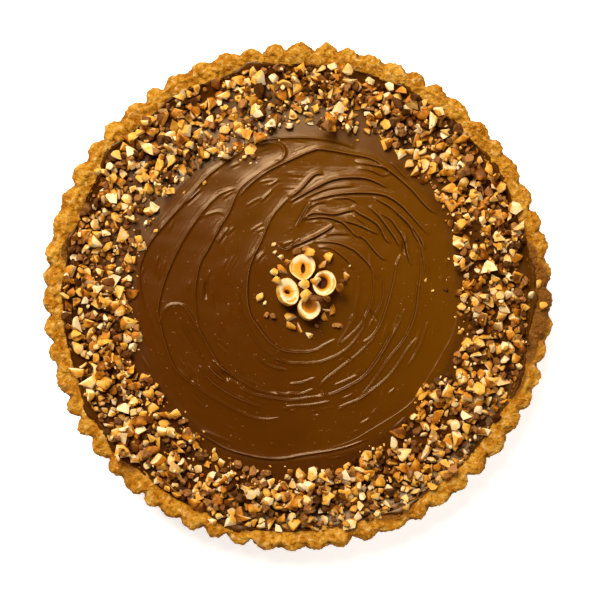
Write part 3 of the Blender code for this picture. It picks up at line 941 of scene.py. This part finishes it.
def chip(name, seed, spans, shell):
    """A chip from under the skin: half width, half length and depth in millimetres."""
    chance = np.random.default_rng(seed)
    piece = ball(name, KERNEL_RADIUS, 2)
    turn = some_direction(chance).to_track_quat("Z", "Y").to_matrix()
    across, along, outward = (turn.col[number] for number in range(3))
    half_width, half_length, depth = (span * MM for span in spans)
    if shell:
        hollow = ball("hollow", KERNEL_RADIUS - depth, 2)
        hollow.location = outward * -0.6 * MM
        apply_modifier(piece, "BOOLEAN", object=hollow, operation="DIFFERENCE")
        bpy.data.objects.remove(hollow)
    middle = outward * (KERNEL_RADIUS - depth / 2)
    cuts = [(-outward, depth / 2), (across, half_width), (-across, half_width), (along, half_length),
            (-along, half_length), ((across + along).normalized(), 0.9 * half_length)]
    piece.select_set(True)
    bpy.ops.object.mode_set(mode="EDIT")
    for direction, distance in cuts:
        tilted = (direction + CHIP_WANDER * some_direction(chance)).normalized()
        cut_away(middle + direction * distance, tilted)
    tidy_mesh(CHIP_MERGE, FLAT_ANGLE)
    limit = {"limit_method": "ANGLE", "angle_limit": math.radians(EDGE_ANGLE)}
    apply_modifier(piece, "BEVEL", width=CHIP_BLUNT, segments=1, **limit)
    toast = [chance.uniform(0, 0.8) ** 2 for _ in piece.data.polygons]
    for number, face in enumerate(piece.data.polygons):
        if face.center.length > SKIN_START * KERNEL_RADIUS:
            toast[number] = 1.0
    store(piece, "toast", toast, "FACE")
    return centred(piece, CHIP_SMOOTH)


# %% Kinds of chips
NUT_KINDS = (  # half width, half length, depth in millimetres, and whether it is a piece of shell
    (1.7, 2.3, 3.4, False), (2.2, 2.5, 3.0, False), (1.3, 2.7, 2.6, False), (2.4, 2.4, 3.8, False),
    (1.9, 2.9, 2.4, False), (1.5, 1.8, 3.0, False), (2.7, 3.0, 2.2, False), (1.0, 2.4, 2.2, False),
    (1.8, 2.0, 4.2, False), (2.0, 3.2, 3.0, False), (2.6, 3.4, 1.9, True), (2.0, 3.8, 2.1, True),
    (2.4, 2.8, 2.4, True), (1.4, 1.9, 2.0, False), (2.1, 2.2, 2.6, False), (1.6, 3.4, 2.6, False),
)
nut_kinds = [chip(f"nut_chip_{number}", 100 + number, spans, shell)
             for number, (*spans, shell) in enumerate(NUT_KINDS)]
print("faces of the chips:", [len(piece.data.polygons) for piece in nut_kinds])

# %% [markdown]
# ## Chopped chocolate and crumbs
# Chopped milk chocolate breaks into duller, rounder lumps. A lump is cut like a chip but from a rougher
# ball, so the ball's points are pushed about first and its edges are blunter. Crumbs are the smallest
# chips, so they are given the fewest faces.


# %% Lumps of chocolate and crumbs
def lump(name, seed, size, cuts, rough, subdivisions=2):
    """A rough ball with a few flat cuts."""
    chance = np.random.default_rng(seed)
    piece = ball(name, 1.0, subdivisions)
    stretch = np.array([chance.uniform(0.8, 1.25), chance.uniform(0.7, 1.1), chance.uniform(0.55, 0.85)])
    points = points_of(piece)
    bumps = noise_at(points[:, 0], points[:, 1], points[:, 2], 0.55, 10.0 * seed)
    move_points(piece, points * (1 + rough * bumps[:, None]) * stretch * size)
    bpy.ops.object.mode_set(mode="EDIT")
    for _ in range(cuts):
        direction = some_direction(chance)
        cut_away(direction * size * chance.uniform(0.35, 0.65), direction)
    tidy_mesh(0.12 * size)
    store(piece, "toast", chance.uniform(0, 0.8, len(piece.data.polygons)), "FACE")
    return centred(piece, LUMP_SMOOTH)


bit_kinds = [lump(f"bit_{number}", 31 + number, 2.8 * MM, 5, 0.5) for number in range(10)]
crumb_kinds = [lump(f"crumb_{number}", 61 + number, 0.75 * MM, 2, 0.2, 1) for number in range(5)]
print("faces of the bits:", [len(piece.data.polygons) for piece in bit_kinds])
print("faces of the crumbs:", [len(piece.data.polygons) for piece in crumb_kinds])

# %% [markdown]
# ## Letting the pieces fall
# The cook lets a handful of pieces drop, and each comes to rest in the nearest dip. The heap is kept as a
# grid of heights. A piece is tried at a few places and turns near the chosen one, it sinks until one
# of its points touches the grid, and the try that ends lowest is kept. Then the grid is raised under it.

# %% The ground before anything falls
CELL = 0.5 * MM
CELLS = 520


def ground_under(pieces):
    """Highest points of the pieces on the grid, found by rays from above."""
    heights = np.zeros((CELLS, CELLS))
    places = (np.arange(CELLS) + 0.5 - CELLS / 2) * CELL
    down = Vector((0, 0, -1))
    for piece in pieces:
        tree = BVHTree.FromObject(piece, bpy.context.evaluated_depsgraph_get())
        for row, north in enumerate(places):
            for column, east in enumerate(places):
                if east * east + north * north < RIM_RADIUS**2:
                    hit = tree.ray_cast(Vector((east, north, 1.0)), down)[0]
                    if hit is not None:
                        heights[row, column] = max(heights[row, column], hit.z)
    return heights


ground = ground_under((case, spread))
bare = ground.copy()
print("ground", round(1000 * ground.max(), 1), "mm at most")


# %% Places on a piece, and its ways to lie
def skin_samples(piece, count, chance):
    """Random places all over a piece's skin."""
    piece.data.calc_loop_triangles()
    points = points_of(piece)
    corners = np.array([triangle.vertices[:] for triangle in piece.data.loop_triangles])
    areas = np.array([triangle.area for triangle in piece.data.loop_triangles])
    chosen = corners[chance.choice(len(corners), count, p=areas / areas.sum())]
    mix = chance.dirichlet((1, 1, 1), count)
    return np.vstack(((points[chosen] * mix[..., None]).sum(1), points))


def ways_to_lie(piece):
    """Turns that put one of the larger faces underneath."""
    faces = sorted(piece.data.polygons, key=lambda face: -face.area)[:5]
    down = Vector((0, 0, -1))
    return [np.array(face.normal.rotation_difference(down).to_matrix()) for face in faces]


class Kind:
    """A model piece that many are copied from."""

    SKIN_SAMPLES = 300

    def __init__(self, piece, chance):
        self.piece = piece
        self.samples = skin_samples(piece, self.SKIN_SAMPLES, chance)
        self.ways = ways_to_lie(piece)


def turn_about_z(angle):
    return np.array(Matrix.Rotation(angle, 3, "Z"))


def loose_turn(chance, tilt):
    """A small random tilt."""
    axis = Vector((*chance.normal(size=2), 0)).normalized()
    return np.array(Matrix.Rotation(chance.normal() * tilt, 3, axis))


# %% Drop one piece
SINK = 0.3 * MM
TILT = math.radians(7)
STRETCHES = (0.82, 1.16)
FURTHEST_OUT = LIP_RADIUS - 0.3 * MM


def landing(samples, x, y):
    """How high a piece comes to rest at a place, and the cells of the grid under it."""
    column = ((samples[:, 0] + x) / CELL + CELLS / 2).astype(int)
    row = ((samples[:, 1] + y) / CELL + CELLS / 2).astype(int)
    return (ground[row, column] - samples[:, 2]).max(), (row, column)


def settle(samples, x, y, sink):
    """Leaves a piece where it lands, pressed in by sink, and raises the ground; returns its place."""
    lift, cells = landing(samples, x, y)
    np.maximum.at(ground, cells, samples[:, 2] + lift - sink)
    return np.array((x, y, lift - sink))


def drop(kind, x, y, size, chance, tries=10, stray=2.4 * MM, sink=SINK):
    """Lets a piece fall near (x, y); returns its turn with size, and its place."""
    best = None
    for _ in range(tries):
        lying = kind.ways[min(int(chance.exponential(1.3)), len(kind.ways) - 1)]
        spin = turn_about_z(chance.uniform(0, math.tau))
        stretch = np.diag(size * chance.uniform(*STRETCHES, 3))
        way = loose_turn(chance, TILT) @ spin @ stretch @ lying
        east = x + chance.uniform(-stray, stray)
        north = y + chance.uniform(-stray, stray)
        held_in = min(1.0, FURTHEST_OUT / math.hypot(east, north))
        east, north = east * held_in, north * held_in
        samples = kind.samples @ way.T
        lift, cells = landing(samples, east, north)
        effort = lift - bare[cells].mean()
        if best is None or effort < best[0]:
            best = (effort, way, samples, east, north)
    _, way, samples, east, north = best
    return way, settle(samples, east, north, sink)


# %% Copies of the models, and one mesh from many
def laid(kind, way, place, tone):
    """A copy of a model piece with its own mesh, moved to where it came to rest."""
    piece = kind.piece.copy()
    piece.data = kind.piece.data.copy()
    bpy.context.scene.collection.objects.link(piece)
    move_points(piece, points_of(piece) @ way.T + place)
    store(piece, "tone", np.full(len(piece.data.vertices), tone))
    return piece


def placed(kind, x, y, length, width, turn, tone, tall=None):
    """A copy at a chosen place in millimetres, with a chosen length, width, and turn in degrees."""
    spans = np.ptp(kind.samples @ kind.ways[0].T, axis=0)
    size = np.diag(np.array((length, width, tall or 0.75 * width)) * MM / spans)
    way = turn_about_z(math.radians(turn)) @ size @ kind.ways[0]
    return laid(kind, way, settle(kind.samples @ way.T, x * MM, y * MM, SINK), tone)


def joined(name, pieces):
    bpy.ops.object.select_all(action="DESELECT")
    for piece in pieces:
        piece.select_set(True)
    bpy.context.view_layer.objects.active = pieces[0]
    bpy.ops.object.join()
    whole = bpy.context.object
    whole.name = name
    whole.data.name = name
    print(name, len(pieces), "pieces,", triangles(whole), "triangles")
    return whole


# %% [markdown]
# ## Where the ring of nuts lies
# The ring begins at the rim and runs in for about three centimetres, with a ragged inner edge: by the
# clock it comes nearer to the middle in some places than in others. A place is drawn between the two edges,
# with fewer pieces near the inner one.

# %% The ring's edges
INNER_EDGE = (  # angle in degrees, radius in millimetres
    (0, 81), (12, 80), (22, 86), (55, 87), (90, 86), (104, 80), (112, 78), (120, 81), (150, 83), (170, 82),
    (190, 81), (203, 87), (213, 82), (225, 79), (240, 86), (262, 87), (285, 86), (295, 81), (312, 81),
    (324, 75), (334, 85), (350, 83), (360, 81),
)
OUTER_EDGE = LIP_RADIUS - 0.6 * MM
print("outer edge", round(1000 * OUTER_EDGE, 1), "mm")


def ring_place(chance, thin_out, over_rim=0.0):
    """A random place in the ring; the larger thin_out, the fewer lie near the rim."""
    degrees = chance.uniform(0, 360)
    inner = np.interp(degrees, *np.transpose(INNER_EDGE)) * MM + chance.normal() * 0.8 * MM
    share = chance.uniform(0, 1) ** thin_out
    radius = inner + (OUTER_EDGE + over_rim - inner) * share
    angle = math.radians(degrees)
    return radius * math.cos(angle), radius * math.sin(angle)


# %% Drop the pieces of the ring
COUNTS = {"nut": 1640, "bit": 900, "crumb": 480}
SIZES = {  # middle and spread of the size's logarithm, smallest and largest size
    "nut": (-0.38, 0.27, 0.4, 1.0), "bit": (-0.45, 0.32, 0.35, 1.2), "crumb": (-0.1, 0.3, 0.5, 1.6)}
STRAYED_CRUMBS = 0.3  # the share of crumbs that lie further in
RING_THINNING = 0.8
CRUMB_THINNING = 1.7
chance = np.random.default_rng(3)
models = {}
for what, kinds in (("nut", nut_kinds), ("bit", bit_kinds), ("crumb", crumb_kinds)):
    models[what] = [Kind(piece, chance) for piece in kinds]
fallen = {what: [] for what in models}


def chosen(what, chance):
    """One of the models at random, and a size for it."""
    kind = models[what][chance.integers(len(models[what]))]
    middle, spread_of_sizes, smallest, largest = SIZES[what]
    return kind, float(np.clip(chance.lognormal(middle, spread_of_sizes), smallest, largest))


order = ["nut"] * COUNTS["nut"] + ["bit"] * COUNTS["bit"]
chance.shuffle(order)
for what in order:
    x, y = ring_place(chance, RING_THINNING)
    kind, size = chosen(what, chance)
    fallen[what].append(laid(kind, *drop(kind, x, y, size, chance), chance.uniform()))
for _ in range(COUNTS["crumb"]):
    x, y = ring_place(chance, CRUMB_THINNING, -1 * MM)
    if chance.uniform() < STRAYED_CRUMBS:
        x, y = x * chance.uniform(0.93, 1.0), y * chance.uniform(0.93, 1.0)
    kind, size = chosen("crumb", chance)
    way, place = drop(kind, x, y, size, chance, 3, 0.8 * MM, sink=0.1 * MM)
    fallen["crumb"].append(laid(kind, way, place, chance.uniform()))
print({what: len(pieces) for what, pieces in fallen.items()})

# %% [markdown]
# ## The four halves in the middle
# Four kernels were halved and set down with the cut side up. A half keeps its round outside, and its cut
# face dips to a hollow: a narrow slot where the kernel was cut beside its middle, an open bowl where it was
# cut through it. Each is a ball cut flat, and the cut face is then worked inwards ring by ring.

# %% What the four halves look like
# Node, lean, direction of the lean, crack, fit, outline, arc, and the rings of the cut face. The fit is a
# stretch across, a stretch along and a shift to the north. The outline is a share at every 30 degrees. An
# arc is a thin groove where the skin has come loose: its two angles and its share of the way out. A ring is
# (east, north, half width, half length, depth). Angles are in degrees, rings in millimetres.
HALVES = (
    ("hazelnut_half_back", 6, 90, -90, (1.0, 1.04, -0.3),
     (1.0, 1.02, 1.01, 1.0, 0.95, 0.94, 1.0, 0.95, 0.87, 1.0, 0.98, 0.92), (150, 210, 0.86),
     ((0.0, 0.0, 6.2, 6.1, 0.1), (0.0, -0.4, 5.7, 5.6, 0.2), (0.1, -1.4, 5.0, 4.6, 0.6),
      (0.2, -1.4, 3.6, 3.5, 1.0), (0.4, -0.6, 1.3, 2.6, 1.3), (0.45, -0.5, 0.85, 2.2, 2.4),
      (0.45, -0.5, 0.3, 1.2, 3.8))),
    ("hazelnut_half_left", 34, 40, 5, (1.0, 1.1, 0.5),
     (1.0, 0.97, 0.97, 1.0, 1.03, 1.0, 0.98, 0.98, 1.0, 1.04, 1.08, 1.0), (255, 325, 0.8),
     ((0.0, 0.0, 5.5, 6.1, 0.1), (0.0, 0.0, 4.6, 5.3, 0.2), (0.0, 0.0, 3.6, 4.2, 0.35),
      (0.1, 0.0, 2.7, 2.8, 0.8), (0.15, 0.0, 1.9, 1.25, 1.3), (0.15, 0.0, 1.4, 0.85, 2.4),
      (0.15, 0.0, 0.5, 0.3, 3.4))),
    ("hazelnut_half_right", 12, 150, 100, (1.05, 1.03, 0.2),
     (1.0, 0.98, 1.0, 1.0, 0.97, 0.95, 0.95, 1.0, 1.0, 1.0, 1.0, 0.97), (-75, 25, 0.82),
     ((0.0, 0.0, 5.7, 5.9, 0.1), (0.0, 0.0, 5.3, 5.5, 0.15), (-0.1, 0.1, 4.9, 5.1, 0.2),
      (-0.4, 0.2, 4.4, 4.7, 0.4), (-1.0, 0.3, 3.5, 3.8, 1.1), (-1.3, 0.3, 2.7, 3.1, 2.1),
      (-1.3, 0.2, 1.7, 2.3, 3.4), (-1.3, 0.2, 0.8, 1.1, 4.0))),
    ("hazelnut_half_front", 24, 55, 90, (1.02, 1.12, 1.0),
     (1.0, 0.95, 0.95, 0.95, 0.93, 0.98, 1.0, 0.96, 0.97, 1.02, 0.93, 0.92), (200, 250, 0.9),
     ((0.1, 0.1, 5.3, 5.6, 0.1), (0.3, 0.7, 4.7, 4.9, 0.2), (0.3, 1.2, 4.2, 4.4, 0.45),
      (0.2, 1.5, 3.8, 4.0, 1.3), (0.1, 1.8, 2.8, 3.1, 1.85), (-0.2, 2.2, 1.4, 1.6, 2.2))),
)
print(len(HALVES), "halves")

# %% Cut a ball and work its face inwards
HALF_SIDES = 60
HALF_BANDS = 24
CUT = 0.12  # how far the cut lies above the middle, as a share of the radius


def highest_face(piece):
    """Selects the face whose middle is highest, in edit mode."""
    mesh = bmesh.from_edit_mesh(piece.data)
    highest = max(mesh.faces, key=lambda face: face.calc_center_median().z)
    for face in mesh.faces:
        face.select_set(face == highest)
    bmesh.update_edit_mesh(piece.data)


def cut_ball(name, wide, long, tall, rings):
    """A ball cut flat a little above its middle, with its cut face worked inwards ring by ring."""
    cut = CUT * tall
    sides = {"segments": HALF_SIDES, "ring_count": HALF_BANDS, "radius": 1.0}
    half = started(name, bpy.ops.mesh.primitive_uv_sphere_add, **sides)
    bpy.ops.object.mode_set(mode="EDIT")
    bpy.ops.mesh.select_mode(type="FACE")
    bpy.ops.mesh.select_all(action="SELECT")
    bpy.ops.transform.resize(value=(wide, long, tall), center_override=(0, 0, 0))
    bpy.ops.mesh.bisect(plane_co=(0, 0, cut), plane_no=(0, 0, 1), use_fill=True, clear_outer=True)
    highest_face(half)
    here, width, length = Vector((0, 0, cut)), wide, long
    for east, north, half_width, half_length, depth in rings:
        there = Vector((east * MM, north * MM, cut - depth * MM))
        bpy.ops.mesh.extrude_region_move(TRANSFORM_OT_translate={"value": there - here})
        size = (half_width * MM / width, half_length * MM / length, 1)
        bpy.ops.transform.resize(value=size, center_override=there)
        here, width, length = there, half_width * MM, half_length * MM
    bpy.ops.mesh.poke()
    bpy.ops.object.mode_set(mode="OBJECT")
    return half


# %% The halves
PRESSED_IN = 0.3 * MM  # how far a half is pressed into the spread
CUT_FACE = 0.94  # the cut face reaches this far out, as a share of the outline
CRACK_HALF_WIDTH = 4  # in degrees
CRACK_DEPTH = 0.25 * MM
CRACK_REACH = 1.35 * MM  # a crack doesn't run further down the hollow than this
ARC_HALF_WIDTH = 0.05
ARC_DEPTH = 0.35 * MM
CRACK_SHADE_DEPTH = 2.4  # cracks and arcs are coloured as if deeper than they are, as painted shade
HALF_SMOOTH = 50


def kernel_half(node, lean, towards, crack, fit, outline, arc, rings):
    """A half of an uneven kernel, with its cracks, leaning where its plain solid lies."""
    low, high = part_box(node)
    wide, long = fit[0] * (high.x - low.x) / 2, fit[1] * (high.y - low.y) / 2
    tall = (high.z - low.z + PRESSED_IN) / (1 + CUT)
    cut = CUT * tall
    half = cut_ball(node + "_kernel", wide, long, tall, rings)
    points = points_of(half)
    x, y, z = points.T
    inside = (np.hypot(x / wide, y / long) < CUT_FACE) & (z > -0.5 * tall)
    depth = np.where(inside, np.maximum(cut - z, 0), 0)
    degrees = np.degrees(np.arctan2(y, x))
    out = np.hypot(x / wide, y / long)
    split = np.abs((degrees - crack + 180) % 360 - 180) < CRACK_HALF_WIDTH
    split = inside & split & (depth < CRACK_REACH)
    start, end, share = arc
    along_arc = ((degrees - start) % 360 < end - start) & (np.abs(out - share) < ARC_HALF_WIDTH)
    groove = CRACK_DEPTH * split + ARC_DEPTH * (inside & along_arc)
    points[:, 2] -= groove
    # painted shade in the cracks and arcs: their colour is read from a greater depth
    depth = depth + CRACK_SHADE_DEPTH * groove
    corners = np.arange(0, 360, 30)
    uneven = np.mean([np.interp(degrees + turn, corners, outline, period=360) for turn in (-10, 0, 10)], 0)
    points[:, :2] *= (1 + (uneven - 1) * np.clip((out - 0.3) / 0.5, 0, 1))[:, None]
    lumps = noise_at(x, y, z, 4 * MM, wide / MM)
    points *= (1 + 0.04 * lumps)[:, None]
    points[:, 2] += 0.25 * MM * noise_at(x, y, 0.0, 2.5 * MM, long / MM) * inside
    sideways = Vector((-math.sin(math.radians(towards)), math.cos(math.radians(towards)), 0))
    points = points @ np.array(Matrix.Rotation(math.radians(lean), 3, sideways)).T
    north = (low.y + high.y) / 2 + fit[2] * MM
    place = np.array(((low.x + high.x) / 2, north, low.z - PRESSED_IN - points[:, 2].min()))
    move_points(half, points + place)
    store(half, "depth", depth / MM)
    store(half, "outside", ~inside)
    bpy.ops.object.shade_smooth_by_angle(angle=math.radians(HALF_SMOOTH))
    column = (points[:, 0] + place[0]) / CELL + CELLS / 2
    row = (points[:, 1] + place[1]) / CELL + CELLS / 2
    np.maximum.at(ground, (row.astype(int), column.astype(int)), points[:, 2] + place[2])
    print(half.name, triangles(half), "triangles")
    return half


halves = [kernel_half(*half) for half in HALVES]

# %% [markdown]
# ## Pieces laid one by one
# Chips and bits are strewn between the halves, and some lie on them. A few more have strayed on to the
# rim and the bare chocolate. These are laid one by one, each with its own length, width and turn. Places
# and sizes are in millimetres and turns in degrees.

# %% Where they lie
BY_HAND = (  # kind, number, east, north, length, width, turn, tone, and for some a height
    ("nut", 13, -12, 26, 2.4, 2.1, 0, 0.1), ("nut", 0, -11.6, 22.3, 2.4, 2.2, 0, 0.0),
    ("nut", 1, -7.7, 19.8, 3.3, 3.1, 20, 0.05), ("nut", 4, -5.4, 17.2, 3.6, 3.0, 0, 0.4),
    ("nut", 9, -8, 14.1, 7.2, 3.4, -50, 0.45), ("nut", 5, -11.6, 12.3, 4.2, 3.5, -30, 0.05),
    ("nut", 3, -9.9, 8.4, 4.6, 4.2, 0, 0.1), ("bit", 0, -0.8, 22.6, 4.4, 3.6, 20, 0.6),
    ("bit", 1, 3.9, 23.4, 4.2, 3.8, 0, 0.8), ("nut", 8, 6.9, 21.6, 5.0, 4.4, -20, 0.8),
    ("nut", 6, 15, 19.9, 5.2, 4.4, 60, 0.1), ("nut", 9, 11.7, 15.8, 5.4, 2.7, 38, 0.4),
    ("nut", 2, 23.6, 10.2, 4.5, 3.4, 70, 0.5), ("bit", 2, 22, 7.8, 3.2, 2.6, 0, 0.4),
    ("nut", 12, 20.2, 4.3, 6.2, 4.2, -60, 0.75), ("nut", 13, -18.9, 0.1, 4.2, 3.6, 20, 0.1),
    ("nut", 0, -16.5, -2.8, 2.8, 2.3, 30, 0.4), ("bit", 3, -15.2, -8.6, 3.3, 2.9, 0, 0.9),
    ("bit", 4, -12.2, -9.2, 3.2, 3.0, 0, 0.8), ("nut", 9, -4.3, -9.2, 6.4, 4.0, -20, 0.15),
    ("nut", 15, -3.8, -14.3, 6.4, 3.5, -42, 0.4), ("nut", 7, 0.5, -14.5, 5.6, 1.9, -68, 0.5),
    ("nut", 1, 6.3, -18.9, 4.4, 3.2, -10, 0.1), ("bit", 5, 9.2, -14.1, 2.7, 1.9, -40, 0.7),
    ("bit", 6, 19.1, -13.9, 5.4, 3.4, 15, 0.8), ("nut", 4, 13, -10.1, 4.6, 4.0, 80, 0.5),
    ("nut", 7, 13.5, -6.2, 4.2, 1.5, -5, 0.0), ("nut", 15, 17.3, -6.3, 6.2, 3.4, 75, 0.4),
    ("nut", 3, 14.5, -0.6, 4.8, 3.0, -25, 0.75), ("nut", 2, 8.5, 8.1, 5.2, 4.2, -15, 0.0),
    ("nut", 5, 3.1, 6.3, 5.4, 4.6, -30, 0.0, 4.2), ("nut", 3, 3.7, 1.6, 6.6, 5.6, 75, 0.0, 4.4),
    ("bit", 6, 8.6, -0.6, 6.2, 4.2, 10, 0.4, 2.6), ("nut", 0, 25.4, 15.6, 1.3, 1.2, 0, 0.1),
    ("nut", 4, 62.8, 8.2, 2.4, 1.6, 60, 0.1), ("nut", 13, 66.2, 3.2, 1.6, 1.3, 0, 0.1),
    ("nut", 6, 120, -4, 4.8, 3.6, 30, 0.2), ("nut", 10, 118, 7, 5.0, 3.0, 60, 0.3),
    ("nut", 9, -88, -79, 5.0, 2.4, 80, 0.3), ("nut", 1, -41, -110, 4.6, 3.4, 0, 0.1),
    ("nut", 2, 53, -103, 4.0, 3.0, 10, 0.2), ("nut", 14, -98, 62, 4.2, 3.4, 0, 0.3),
    ("nut", 11, -95, -22, 7.5, 3.6, 0, 0.3), ("nut", 10, -60, -57, 7.0, 4.4, 10, 0.1),
    ("nut", 12, -72, -47, 6.0, 4.0, 80, 0.2), ("nut", 6, 80, 36, 6.0, 4.6, 40, 0.1),
    ("nut", 13, -46, 56.2, 2.2, 1.8, 30, 0.1), ("nut", 0, -59.8, 59, 1.6, 1.6, 0, 0.2),
    ("nut", 4, -56, 51.3, 2.4, 1.6, 50, 0.1), ("nut", 1, -65.5, 51, 3.0, 2.0, 80, 0.2),
    ("nut", 13, -70, 32.7, 2.2, 1.8, 0, 0.1), ("nut", 0, -75, 36.4, 3.2, 2.2, 40, 0.0),
    ("nut", 13, -26.5, 68.8, 2.2, 1.8, 0, 0.0), ("nut", 0, -23.5, 66, 1.8, 1.5, 0, 0.0),
    ("bit", 2, -22, 69.5, 2.6, 2.2, 30, 0.9), ("bit", 5, -19, 68.5, 2.0, 1.6, 0, 0.9),
    ("nut", 4, -24.8, 70.2, 1.3, 1.2, 0, 0.1), ("nut", 1, -28, 67.4, 1.6, 1.3, 0, 0.1),
    ("bit", 3, -33, 72.5, 3.4, 2.4, 50, 1.0), ("nut", 0, -20.5, 66.3, 1.2, 1.1, 0, 0.0),
    ("bit", 6, 72.5, 4.0, 2.8, 2.6, 0, 0.2), ("bit", 8, -48, 66.5, 3.2, 2.2, 50, 1.0),
)
for what, number, *where in BY_HAND:
    fallen[what].append(placed(models[what][number], *where))

# %% One mesh for each kind
ring = joined("chopped_nuts", fallen["nut"])
chocolate_bits = joined("chopped_chocolate", fallen["bit"])
nut_crumbs = joined("nut_crumbs", fallen["crumb"])
for model in nut_kinds + bit_kinds + crumb_kinds:
    bpy.data.objects.remove(model)

# %% [markdown]
# ## Nut and chocolate finishes
# Cut hazelnut is cream, the roasted outside golden to brown, and every piece was roasted a little more or
# less, which is its tone. Thin red-brown skin clings to the outside in places. Chopped milk chocolate is
# matt, and paler where it has been cut and rubbed to dust.

# %% Hazelnut
NUT_CREAM = (0.87, 0.68, 0.38)
ROASTED_GOLD = (0.76, 0.38, 0.045)
ROASTED_BROWN = (0.47, 0.150, 0.008)
THIN_SKIN = (0.13, 0.034, 0.002)
nut_finish = Finish("roasted_hazelnut", 0.5, 0.2, (1.0, 0.85, 0.6))
tone = nut_finish.attribute("tone")
toast = nut_finish.attribute("toast")
mottle = nut_finish.noise(4.5 * MM, 2)
roast = tone * 0.55 + toast * 0.42 + mottle * 0.9 - 0.37
nut_colour = coated(nut_finish, NUT_CREAM, (
    (roast.between(0.10, 0.58), ROASTED_GOLD),
    (roast.between(0.52, 0.80), ROASTED_BROWN),
    (roast.between(0.78, 1.0), THIN_SKIN),
))
nut_bump = nut_finish.bump(nut_finish.noise(0.9 * MM, 2), 0.15 * MM)
nut_material = nut_finish.finish(nut_colour, nut_bump)
for piece in (ring, nut_crumbs):
    piece.data.materials.clear()
    piece.data.materials.append(nut_material)
print("hazelnut finish:", len(nut_finish.tree.nodes), "nodes")

# %% Chopped chocolate
BIT_DARK = (0.06, 0.017, 0.002)
BIT_PALE = (0.37, 0.15, 0.038)
bit_finish = Finish("chopped_milk_chocolate", 0.6, 0.15, (1.0, 0.7, 0.45))
tone = bit_finish.attribute("tone")
dust = bit_finish.noise(1.2 * MM, 3)
pale = (tone + dust * 0.7 - 0.35).between(0.1, 1.0)
bit_colour = bit_finish.mix(pale, BIT_DARK, BIT_PALE)
bit_bump = bit_finish.bump(dust, 0.3 * MM)
chocolate_bits.data.materials.clear()
chocolate_bits.data.materials.append(bit_finish.finish(bit_colour, bit_bump))
print("chopped chocolate finish:", len(bit_finish.tree.nodes), "nodes")

# %% Halved kernels
CUT_CREAM = (0.87, 0.66, 0.37)
TOASTED_FACE = (0.74, 0.31, 0.018)
HOLLOW_BROWN = (0.50, 0.165, 0.005)
# painted shade deep in the slot
HOLLOW_SHADE = (0.07, 0.013, 0.001)
HUSK_GOLD = (0.80, 0.46, 0.09)
HUSK_BROWN = (0.62, 0.27, 0.02)
half_finish = Finish("halved_hazelnut", 0.5, 0.15)
depth = half_finish.attribute("depth")
outside = half_finish.attribute("outside")
grain = half_finish.noise(2.5 * MM, 3)
face = coated(half_finish, CUT_CREAM, (
    ((depth + grain * 0.8 - 0.4).between(0.1, 0.9), TOASTED_FACE),
    (depth.between(0.8, 1.7), HOLLOW_BROWN),
    (depth.between(1.7, 2.5), HOLLOW_SHADE),
))
husk = half_finish.mix(grain.between(0.35, 0.65), HUSK_GOLD, HUSK_BROWN)
half_bump = half_finish.bump(half_finish.noise(1.1 * MM, 2), 0.12 * MM)
half_material = half_finish.finish(half_finish.mix(outside, face, husk), half_bump)
for half in halves:
    half.data.materials.append(half_material)
print(len(halves), "halves finished")

# %% Take the places of the plain solids
for piece, slot, *nodes in (
    (case, "shortcrust", "crust"), (spread, "chocolate_spread", "spread"),
    (ring, "chopped_hazelnut", "nut_ring"), (nut_crumbs, "chopped_hazelnut"),
    (chocolate_bits, "chopped_chocolate"),
    *((half, "hazelnut", settings[0]) for half, settings in zip(halves, HALVES)),
):
    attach(piece, "root")
    if nodes:
        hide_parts(*nodes)
